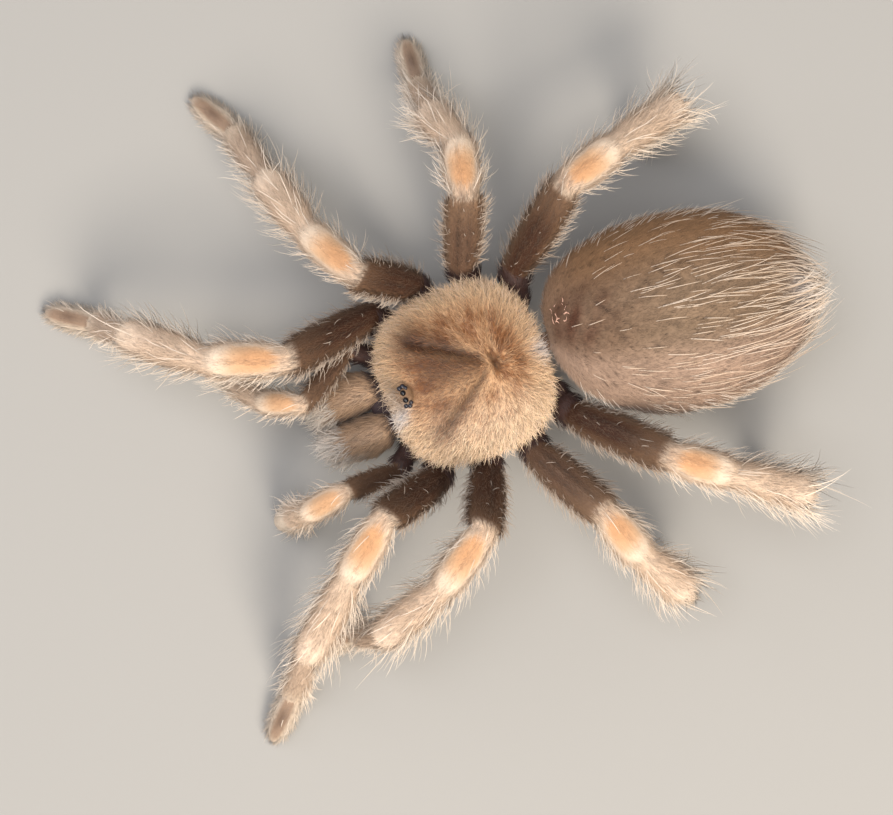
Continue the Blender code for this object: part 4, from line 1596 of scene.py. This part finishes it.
@dataclass
class Coat:
    """A piece of the coat: many solid tapering hairs in one mesh."""

    name: str
    slot: str
    seed: int

    PATCH = 0.003
    # How far the shading of a hair turns to its own round body, and up to the sky.
    ROUNDNESS = 0.5
    SKYWARD = 0.45
    ROOT_DEPTH = 0.06 * MM
    # Shortest and longest hair of a sort, as factors on its length.
    LENGTHS = (0.4, 1.7)
    LIFT_SPREAD = 0.25
    SHADES = (0.3, 1.8)
    TRIES = 6
    TAPER = 0.55

    def __post_init__(self) -> None:
        """Start with no hair."""
        self.random = np.random.default_rng(self.seed)
        self.points, self.normals, self.colours, self.spots = [], [], [], []
        self.quads, self.triangles = [], []
        self.count = 0

    def scatter(self, form: Form, count: int, along: tuple, keep: Callable | None = None) -> tuple:
        """Spread roots evenly over part of a form.

        Args:
            form: The surface.
            count: How many roots.
            along: Lowest and highest share along the form.
            keep: Function of along and angle that gives how likely a root stays.

        Returns:
            Shares along and angles round.
        """
        tries = count * self.TRIES
        share = self.random.uniform(*along, tries)
        angle = self.random.uniform(-math.pi, math.pi, tries)
        weight = form.areas(share, angle)
        if keep is not None:
            weight = weight * np.clip(keep(share, angle), 0.0, None)
        chance = weight * (count / max(weight.sum(), 1e-30))
        chosen = self.random.uniform(size=tries) < chance
        return share[chosen], angle[chosen]

    def grow(self, form: Form, roots: tuple, hair: Hair, base: Array, tips: Array | None = None,
             lengths: Array | float = 1.0, lifts: Array | float = 1.0) -> None:
        """Grow hairs of one sort from a form.

        Args:
            form: The surface.
            roots: Shares along and angles round.
            hair: The sort of hair.
            base: Linear colour of each hair at its root, before the sort's own shade.
            tips: The same at its tip, if that isn't the base.
            lengths: Factor on each hair's length.
            lifts: Factor on each hair's angle off the skin.
        """
        colours = (self.shaded(base, hair.root), self.shaded(base if tips is None else tips, hair.tip))
        along, angle = roots
        normal = form.outward(along, angle)
        lie = form.lie(along, angle)
        aside = np.cross(normal, lie)
        start = form.places(along, angle) - normal * self.ROOT_DEPTH
        draw = self.random.normal(size=(len(along), 4))
        length = hair.length * lengths * np.clip(1.0 + hair.uneven * draw[:, 0], *self.LENGTHS)
        lift = np.radians(hair.lift * lifts * (1.0 + self.LIFT_SPREAD * draw[:, 1]))
        sway = np.radians(hair.sway) * draw[:, 2]
        sway = sway + np.radians(hair.clump) * ripple(start, hair.tuft, self.seed)
        curl = np.radians(hair.curl) * draw[:, 3]
        spine = [start]
        ways = []
        for joint in range(hair.joints):
            share = (joint + 0.5) / hair.joints
            tilt = (lift - np.radians(hair.fall) * share)[:, None]
            turn = (sway + curl * share * 2.0)[:, None]
            way = np.cos(tilt) * (np.cos(turn) * lie + np.sin(turn) * aside) + np.sin(tilt) * normal
            ways.append(way)
            spine.append(spine[-1] + way * (length / hair.joints)[:, None])
        self.add(spine, ways, normal, hair, colours, form.spots(along, angle))

    def add(self, spine: list, ways: list, normal: Array, hair: Hair, colours: tuple, spots: Array) -> None:
        """Put three-sided tapering bodies round rows of spine points.

        Args:
            spine: Places of every hair's joints, from the roots to the tips.
            ways: Ways between those joints.
            normal: The skin's outward unit vectors at the roots.
            hair: The sort of hair.
            colours: Linear colours at the roots and at the tips.
            spots: Places of the roots on the form's unwrap.
        """
        joints = hair.joints
        rows, faced, tones, places = [], [], [], []
        for joint in range(joints + 1):
            share = joint / joints
            way = ways[min(joint, joints - 1)]
            broad = unit(np.cross(way, normal))
            thick = np.cross(broad, way)
            radius = hair.width / 2 * (1.0 - share) ** self.TAPER
            solid = joint < joints
            for corner in range(3 if solid else 1):
                turn = corner * 2 * math.pi / 3 + math.pi / 6
                offset = broad * math.cos(turn) + thick * math.sin(turn) * hair.flat
                rows.append(spine[joint] + offset * radius)
                faced.append(unit(normal + UP * self.SKYWARD + offset * (self.ROUNDNESS if solid else 0.0)))
                tones.append(colours[0] * (1.0 - share) + colours[1] * share)
                across = (corner - 1) / 2 if solid else 0.0
                places.append(spots + np.array((across, share - 0.5)) * self.PATCH)
        rows, faced, tones, places = [np.stack(part, axis=1) for part in (rows, faced, tones, places)]
        rows[..., 2] = np.maximum(rows[..., 2], FLOOR_CLEARANCE)
        per_hair = rows.shape[1]
        first = self.count + np.arange(len(normal))[:, None] * per_hair
        for joint in range(joints - 1):
            for corner in range(3):
                near, beside = joint * 3 + corner, joint * 3 + (corner + 1) % 3
                self.quads.append(first + np.array((near, near + 3, beside + 3, beside)))
        last = (joints - 1) * 3
        for corner in range(3):
            self.triangles.append(first + np.array((last + (corner + 1) % 3, last + corner, per_hair - 1)))
        self.triangles.append(first + np.array((0, 1, 2)))
        self.points.append(rows.reshape(-1, 3))
        self.normals.append(faced.reshape(-1, 3))
        self.colours.append(tones.reshape(-1, 3))
        self.spots.append(places.reshape(-1, 2))
        self.count += len(normal) * per_hair

    def build(self, finish: Finish) -> bpy.types.Object:
        """Make the mesh with its painted layer and its map of roots.

        Args:
            finish: The hair's finish.

        Returns:
            The piece.
        """
        points = np.concatenate(self.points)
        colours = np.clip(np.concatenate(self.colours), 0.0, 1.0)
        spots = np.clip(np.concatenate(self.spots), 0.002, 0.998)
        quads = np.concatenate(self.quads) if self.quads else np.zeros((0, 4), int)
        triangles = np.concatenate(self.triangles)
        corners = np.concatenate([quads.ravel(), triangles.ravel()])
        starts = np.concatenate([np.arange(len(quads)) * 4, len(quads) * 4 + np.arange(len(triangles)) * 3])
        mesh = bpy.data.meshes.new(self.name)
        mesh.vertices.add(len(points))
        mesh.vertices.foreach_set("co", points.astype(np.float32).ravel())
        mesh.loops.add(len(corners))
        mesh.loops.foreach_set("vertex_index", corners.astype(np.int32))
        mesh.polygons.add(len(starts))
        mesh.polygons.foreach_set("loop_start", starts.astype(np.int32))
        layer = mesh.color_attributes.new(COAT_LAYER, "FLOAT_COLOR", "POINT")
        opaque = np.column_stack([colours, np.ones(len(colours))])
        layer.data.foreach_set("color", opaque.astype(np.float32).ravel())
        mesh.update(calc_edges=True)
        bake_map = mesh.uv_layers.new(name="OFBake")
        bake_map.data.foreach_set("uv", spots[corners].astype(np.float32).ravel())
        mesh.shade_smooth()
        mesh.normals_split_custom_set_from_vertices(np.concatenate(self.normals).astype(np.float32))
        log.info("%s: %d triangles", self.name, len(quads) * 2 + len(triangles))
        return finished_object(self.name, mesh, finish)

    def shaded(self, colours: Array, shade: tuple) -> Array:
        """Shade colours by a factor that varies from hair to hair.

        Args:
            colours: Linear colours in rows.
            shade: The factor and its spread.

        Returns:
            Linear colours.
        """
        factor, spread = shade
        if not spread:
            return colours * factor
        draw = self.random.normal(size=(len(colours), 1))
        return colours * factor * np.clip(1.0 + spread * draw, *self.SHADES)


class Groomer:
    """Grows the coat of every region."""

    # Root factors below 1 darken each hair towards its base, partly as painted shade deep in the coat.
    UNDERCOAT = Hair(length=0.8 * MM, width=0.075 * MM, lift=17.0, sway=9.0, joints=1, clump=6.0,
                     root=(1.0, 0.1), tip=(1.0, 0.1), count=6800)
    PILE = Hair(length=1.2 * MM, width=0.07 * MM, lift=20.0, fall=14.0, sway=8.0, clump=7.0, tuft=1.4 * MM,
                root=(1.0, 0.1), tip=(1.0, 0.1), count=3900)
    SETA = Hair(length=2.5 * MM, width=0.1 * MM, lift=46.0, fall=38.0, sway=9.0, curl=8.0, joints=4,
                clump=6.0, tuft=1.2 * MM, root=(0.85, 0.12), tip=(1.0, 0.08), count=1150)
    SPRAY = Hair(length=3.5 * MM, width=0.1 * MM, lift=30.0, fall=14.0, sway=20.0, curl=18.0, joints=4,
                 clump=12.0, tuft=0.8 * MM, root=(1.0, 0.12))
    BRUSH = Hair(length=0.8 * MM, width=0.07 * MM, lift=52.0, fall=16.0, sway=14.0, clump=8.0,
                 root=(0.85, 0.1), tip=(1.08, 0.08), count=1900)
    FELT = Hair(length=1.0 * MM, width=0.075 * MM, lift=29.0, fall=14.0, sway=13.0, curl=14.0, clump=15.0,
                tuft=0.8 * MM, root=(0.45, 0.2), tip=(1.35, 0.25), count=13900)
    RIM_FRINGE = Hair(length=1.7 * MM, width=0.065 * MM, lift=18.0, fall=12.0, curl=18.0, joints=3,
                      uneven=0.35, clump=26.0, tuft=1.3 * MM, root=(0.65, 0.15), tip=(1.2, 0.15),
                      count=2300)
    DOWN = Hair(length=0.75 * MM, width=0.06 * MM, lift=22.0, joints=1, clump=8.0,
                root=(0.84, 0.22), tip=(1.14, 0.22), count=36000)
    LONG = Hair(length=4.0 * MM, width=0.095 * MM, lift=14.0, fall=16.0, sway=3.5, curl=5.0, joints=6,
                clump=4.0, tuft=5.0 * MM, count=560)
    REAR_FRINGE = Hair(length=3.4 * MM, width=0.12 * MM, lift=30.0, fall=28.0, sway=7.0, joints=6,
                       clump=20.0, tuft=2.2 * MM, count=320)
    EDGE = Hair(length=1.3 * MM, width=0.09 * MM, lift=34.0, fall=16.0, sway=10.0, curl=12.0, joints=3,
                count=520)
    SPECKS = Hair(length=0.8 * MM, width=0.16 * MM, lift=12.0, fall=10.0, sway=80.0, curl=55.0, joints=4,
                  tip=(1.1, 0.0), count=16)
    COMB = Hair(length=1.25 * MM, width=0.08 * MM, lift=18.0, fall=12.0, sway=8.0, clump=16.0, tuft=0.9 * MM,
                root=(0.65, 0.25), tip=(1.25, 0.25), count=3900)
    JAW_TUFT = Hair(length=1.7 * MM, width=0.11 * MM, lift=30.0, fall=16.0, curl=14.0, joints=3, clump=14.0,
                    tuft=0.8 * MM, root=(0.6, 0.0), tip=(1.15, 0.1), count=380)
    FUR = Hair(length=0.8 * MM, width=0.08 * MM, lift=24.0, fall=8.0, sway=14.0, clump=10.0,
               root=(0.8, 0.15), tip=(1.2, 0.15))
    # Segment, number of hairs and factor on their length for each spray, and the fewest hairs of one.
    SPRAYS = ((Segment.TIBIA, 190, 1.0), (Segment.METATARSUS, 80, 0.6))
    FEWEST = 8
    # First random seeds of legs and palps, and a palp's share of a leg's hairs.
    LEG_SEED = 100
    PALP_SEED = 120
    PALP_SHARE = 0.42
    # Length of the setae from the trochanter out to the toe.
    SETA_LENGTHS = (0.4, 0.62, 0.75, 1.0, 0.7, 0.36)

    def limb(self, limb: Limb, seed: int, share: float) -> None:
        """Undercoat, pile, long setae and foot brush of one limb.

        Args:
            limb: The limb.
            seed: Start of its random draws.
            share: Its share of a leg's number of hairs.
        """
        coat = Coat("coat_" + limb.name, "tibia", seed)
        hip = 0.45 * limb.bounds[1]
        for hair, shade in ((self.UNDERCOAT, 0.86), (self.PILE, 1.0)):
            roots = coat.scatter(limb, int(hair.count * share), (hip, 0.995))
            base = limb.tints(*roots) * shade
            part, down = limb.split(roots[0])
            bare = limb.bareness(*roots)
            shin = part == Segment.TIBIA.value
            bushy = limb.kind.spray * shin * rise(down, 0.35, 0.9) * (1.0 - bare)
            lengths = np.where(part == Segment.TARSUS.value, 0.55, 1.0)
            lengths = lengths * (1.0 - 0.4 * bare) * (1.0 + 0.5 * bushy)
            tips = paint(base * 1.1, (Tint.FEMUR_FLANK, 0.35 * (part == Segment.FEMUR.value)))
            # Roots darker except on bare patches: partly painted shade deep in the coat.
            depth = (0.8 + 0.2 * bare)[:, None]
            coat.grow(limb, roots, hair, base * depth, tips, lengths, 1.0 - 0.6 * bare + 0.6 * bushy)
        self.setae(coat, limb, share)
        self.sprays(coat, limb, share)
        self.feet(coat, limb, share)
        coat.build(HAIR)

    def setae(self, coat: Coat, limb: Limb, share: float) -> None:
        """Long pale setae of one limb.

        Args:
            coat: The coat they join.
            limb: The limb.
            share: Its share of a leg's number of hairs.
        """
        roots = coat.scatter(
            limb, int(self.SETA.count * share), (limb.bounds[2] * 0.8, 0.985),
            lambda along, angle: self.seta_places(along, angle) * (1.0 - 0.96 * limb.bareness(along, angle)),
        )
        part, _ = limb.split(roots[0])
        base = limb.tints(*roots)
        dark = part <= Segment.FEMUR.value
        roots_tone = paint(base, (Tint.SETA, np.where(dark, 0.25, 0.7)))
        tips = paint(base, (Tint.CREAM, np.where(dark, 0.55, 0.9)))
        lengths = np.choose(np.clip(part - 1, 0, 5), self.SETA_LENGTHS) * share ** 0.3
        coat.grow(limb, roots, self.SETA, roots_tone, tips, lengths)

    def sprays(self, coat: Coat, limb: Limb, share: float) -> None:
        """Longer setae that spread past the ends of shin and metatarsus.

        Args:
            coat: The coat they join.
            limb: The limb.
            share: Its share of a leg's number of hairs.
        """
        for segment, count, length in self.SPRAYS:
            if segment not in limb.kind.segments:
                continue
            place = 2 + limb.kind.segments.index(segment)
            start, end = limb.bounds[place], limb.bounds[place + 1]
            reach = (end - 0.22 * (end - start), end)
            number = max(int(count * limb.kind.spray * share), self.FEWEST)
            roots = coat.scatter(limb, number, reach, self.seta_places)
            base = one_tint(Tint.SETA, roots[0])
            coat.grow(limb, roots, self.SPRAY, base, one_tint(Tint.CREAM, base), length)

    def feet(self, coat: Coat, limb: Limb, share: float) -> None:
        """Dense brush along the edges and the sole of the foot.

        Args:
            coat: The coat it joins.
            limb: The limb.
            share: Its share of a leg's number of hairs.
        """
        start = limb.bounds[-2] - 0.3 * (limb.bounds[-2] - limb.bounds[-3])
        roots = coat.scatter(limb, int(self.BRUSH.count * share), (start, 0.998), self.sole_places)
        base = paint(limb.tints(*roots), (Tint.TARSUS_RIM, rise(np.sin(roots[1]), -0.8, -0.2)))
        coat.grow(limb, roots, self.BRUSH, base)

    @staticmethod
    def seta_places(along: Array, angle: Array) -> Array:
        """Setae crowd on the flanks and thin out on top."""
        return 0.07 + rise(-np.sin(angle), -0.85, -0.2) * (1.0 - 0.7 * rise(-np.sin(angle), 0.3, 0.8))

    @staticmethod
    def sole_places(along: Array, angle: Array) -> Array:
        """The brush covers the edges and the sole."""
        return rise(-np.sin(angle), -0.45, 0.1)

    @staticmethod
    def flank_places(along: Array, angle: Array) -> Array:
        """Edge hair stands on both flanks."""
        return rise(np.abs(np.cos(angle)), 0.85, 1.0)

    @staticmethod
    def long_places(along: Array, angle: Array) -> Array:
        """Few long setae in front, many at the rear, most on the upper side."""
        return (0.05 + rise(along, 0.2, 0.75) * 1.2) * (0.3 + 0.7 * rise(np.sin(angle), -0.5, 0.3))

    @staticmethod
    def tuft_places(along: Array, angle: Array) -> Array:
        """The jaws' tufts are densest on top."""
        return 0.4 + rise(np.sin(angle), -0.4, 0.4)

    def shield(self, shell: Shell) -> None:
        """Golden felt that fans out from the pit, and the pale ragged fringe of the rim.

        Args:
            shell: The shield.
        """
        coat = Coat("coat_carapace", "carapace", 21)
        roots = coat.scatter(shell, self.FELT.count, (0.02, 1.0))
        base = shell.tints(*roots)
        x, y = shell.offsets(shell.places(*roots))
        from_eyes = np.hypot(x, y + shell.HEAD_AHEAD + 3.1 * MM) / (1.7 * MM)
        smooth_head = np.exp(-np.hypot(x, y + shell.HEAD_AHEAD) ** 2 / (3.2 * MM) ** 2)
        lengths = (0.75 + 0.45 * rise(roots[0], 0.5, 0.95)) * (1.0 - 0.6 * np.exp(-from_eyes ** 4))
        speck = rise(coat.random.uniform(size=len(base)), 0.6, 0.9) * (1.0 - rise(roots[0], 0.65, 0.95))
        base = paint(base, (Tint.GOLD_DEEP, 0.65 * speck))
        coat.grow(shell, roots, self.FELT, base, lengths=lengths * (1.0 - 0.25 * smooth_head))
        self.cream(coat, shell, self.RIM_FRINGE, (0.84, 1.0), 0.25)
        coat.build(HAIR)

    @staticmethod
    def cream(coat: Coat, form: Form, hair: Hair, along: tuple, share: float, tip: float = -1.0,
              keep: Callable | None = None) -> None:
        """Grow hair of one sort that is paler than the skin.

        Args:
            coat: The coat it joins.
            form: The surface.
            hair: The sort of hair.
            along: Lowest and highest share along the form.
            share: How creamy the hair is at its root.
            tip: How much creamier its tip is, or below 0 where it is no creamier.
            keep: Function of along and angle that gives how likely a root stays.
        """
        roots = coat.scatter(form, hair.count, along, keep)
        base = paint(form.tints(*roots), (Tint.CREAM, share))
        coat.grow(form, roots, hair, base, None if tip < 0.0 else paint(base, (Tint.CREAM, tip)))

    def abdomen(self, abdomen: Abdomen) -> None:
        """Short velvet, and long cream setae that crowd towards the rear.

        Args:
            abdomen: The abdomen.
        """
        coat = Coat("coat_abdomen_velvet", "abdomen", 31)
        roots = coat.scatter(abdomen, self.DOWN.count, (0.01, 0.99))
        coat.grow(abdomen, roots, self.DOWN, abdomen.tints(*roots))
        coat.build(VELVET)
        coat = Coat("coat_abdomen_setae", "abdomen", 32)
        roots = coat.scatter(abdomen, self.LONG.count, (0.14, 0.93), self.long_places)
        base = paint(abdomen.tints(*roots), (Tint.CREAM, 0.3))
        tips = paint(one_tint(Tint.CREAM, base), (Tint.GOLD_RIM, coat.random.uniform(0.3, 0.9, len(base))))
        lengths = np.interp(roots[0], (0.14, 0.3, 0.5, 0.75), (0.3, 0.5, 0.8, 1.0))
        coat.grow(abdomen, roots, self.LONG, base, tips, lengths)
        self.cream(coat, abdomen, self.REAR_FRINGE, (0.82, 0.985), 0.4, 0.8)
        self.cream(coat, abdomen, self.EDGE, (0.16, 0.85), 0.4, 1.0, self.flank_places)
        self.specks(coat, abdomen)
        coat.build(HAIR)

    def specks(self, coat: Coat, abdomen: Abdomen) -> None:
        """A few loose pinkish hairs that curl up on the front of the abdomen.

        Args:
            coat: The coat they join.
            abdomen: The abdomen.
        """
        along = coat.random.uniform(0.1, 0.18, self.SPECKS.count)
        angle = math.pi / 2 + coat.random.uniform(-0.55, -0.05, self.SPECKS.count)
        coat.grow(abdomen, (along, angle), self.SPECKS, one_tint(Tint.SPECK, along))

    def jaws(self, jaws: list) -> None:
        """Combed hair of the jaws, with pale tufts at their tips.

        Args:
            jaws: Both jaws.
        """
        coat = Coat("coat_chelicerae", "chelicera", 41)
        for jaw in jaws:
            roots = coat.scatter(jaw, self.COMB.count, (0.14, 0.99))
            lengths = np.interp(roots[0], (0.28, 0.42, 1.0), (0.6, 1.0, 0.85))
            lifts = 1.0 + 1.4 * rise(roots[0], 0.75, 0.95)
            coat.grow(jaw, roots, self.COMB, jaw.tints(*roots), lengths=lengths, lifts=lifts)
            roots = coat.scatter(jaw, self.JAW_TUFT.count, (0.72, 0.99), self.tuft_places)
            coat.grow(jaw, roots, self.JAW_TUFT, paint(jaw.tints(*roots), (Tint.JAW_TIP, 0.8)))
        coat.build(HAIR)

    def belly(self, belly: Belly, vent: Stalk, spinnerets: list) -> None:
        """Short dark fur of the sternum, the wall under the shield, the vent and the spinnerets.

        Args:
            belly: The belly.
            vent: The link to the spinnerets.
            spinnerets: Both spinnerets.
        """
        coat = Coat("coat_belly", "underside", 51)
        places = [(belly, 3200, (0.02, 0.97), 1.0), (vent, 700, (0.3, 0.98), 1.0)]
        places += [(spinneret, 420, (0.22, 0.97), 0.6) for spinneret in spinnerets]
        for form, count, along, length in places:
            roots = coat.scatter(form, count, along)
            coat.grow(form, roots, self.FUR, form.tints(*roots), lengths=length)
        coat.build(VELVET)


# ---------------------------------------------------------------- studio


@dataclass
class Studio:
    """Floor, lights and camera of the view from straight above."""

    camera_height: float = 0.2
    aim: tuple = (2.271 * MM, -5.533 * MM)
    turn: float = math.radians(68.1)
    view_width: float = 83.46 * MM
    sensor: float = 36.0

    def floor(self) -> None:
        """A large pale card."""
        bm = bmesh.new()
        bmesh.ops.create_grid(bm, x_segments=1, y_segments=1, size=1.5)
        mesh = smooth_mesh("floor", bm)
        mesh.materials.append(CARD.material())
        card = bpy.data.objects.new("floor", mesh)
        bpy.context.scene.collection.objects.link(card)

    def light(self, name: str, place: tuple, size: float, power: float, colour: str) -> None:
        """A soft square light that faces the spider.

        Args:
            name: The light's name.
            place: Its place.
            size: Its width.
            power: Its power in watts.
            colour: Its colour as an sRGB hex value.
        """
        lamp = bpy.data.lights.new(name, "AREA")
        lamp.size = size
        lamp.energy = power
        lamp.color = linear(colour)
        holder = bpy.data.objects.new(name, lamp)
        holder.location = place
        holder.rotation_euler = Vector(place).to_track_quat("Z", "Y").to_euler()
        bpy.context.scene.collection.objects.link(holder)

    def lights(self) -> None:
        """Key from the spider's left, broad top light and weak fill."""
        self.light("key", (0.30, 0.02, 0.34), 0.22, 2.5, "FFF6EA")
        self.light("top", (-0.06, -0.08, 0.5), 0.4, 1.8, "F6F8FF")
        self.light("fill", (-0.25, -0.3, 0.18), 0.3, 0.55, "F6F4F8")
        world = bpy.data.worlds.new("studio")
        world.use_nodes = True
        backdrop = world.node_tree.nodes["Background"]
        backdrop.inputs["Color"].default_value = (0.86, 0.88, 0.9, 1.0)
        backdrop.inputs["Strength"].default_value = 0.34
        bpy.context.scene.world = world

    def camera(self) -> None:
        """Camera straight above, turned so that the head points left."""
        data = bpy.data.cameras.new("camera")
        data.sensor_width = self.sensor
        data.lens = self.sensor * self.camera_height / self.view_width
        data.clip_start = 0.01
        holder = bpy.data.objects.new("camera", data)
        pit = pit_place()
        holder.location = (pit[0] + self.aim[0], pit[1] + self.aim[1], self.camera_height)
        holder.rotation_euler = (0.0, 0.0, self.turn)
        bpy.context.scene.collection.objects.link(holder)
        bpy.context.scene.camera = holder

    def build(self) -> None:
        """Set up the whole studio."""
        self.floor()
        self.lights()
        self.camera()
        bpy.context.scene.view_settings.view_transform = "Standard"


def main() -> None:
    """Build the spider's looks around the frame."""
    logging.basicConfig(level=logging.INFO, format="%(name)s %(message)s")
    Studio().build()
    kinds = {1: FRONT_LEG, 2: FRONT_LEG, 3: THIRD_LEG, 4: HIND_LEG}
    legs = [
        Limb.from_frame("leg_" + side + "_" + str(number), kind)
        for _, side in SIDES for number, kind in kinds.items()
    ]
    palps = [Limb.from_frame("palp_" + side, PALP) for _, side in SIDES]
    shell = Shell.from_frame()
    belly = Belly.from_frame()
    abdomen = Abdomen.from_frame()
    jaws = [Jaw.from_frame(side) for side, _ in SIDES]
    spinnerets = [Spinneret.from_frame(side) for side, _ in SIDES]
    links = {name: Stalk.between(*ends) for name, ends in LINKS.items()}
    Skin(belly, [*legs, *palps], jaws, abdomen, spinnerets, links).build()
    ShieldPlate(shell).build()
    Eyes(shell).build()
    Fangs().build()
    Claws(legs).build()
    groomer = Groomer()
    for index, leg in enumerate(legs):
        groomer.limb(leg, groomer.LEG_SEED + index, 1.0)
    for index, palp in enumerate(palps):
        groomer.limb(palp, groomer.PALP_SEED + index, groomer.PALP_SHARE)
    groomer.shield(shell)
    groomer.abdomen(abdomen)
    groomer.jaws(jaws)
    groomer.belly(belly, links["vent"], spinnerets)


if __name__ == "__main__":
    main()
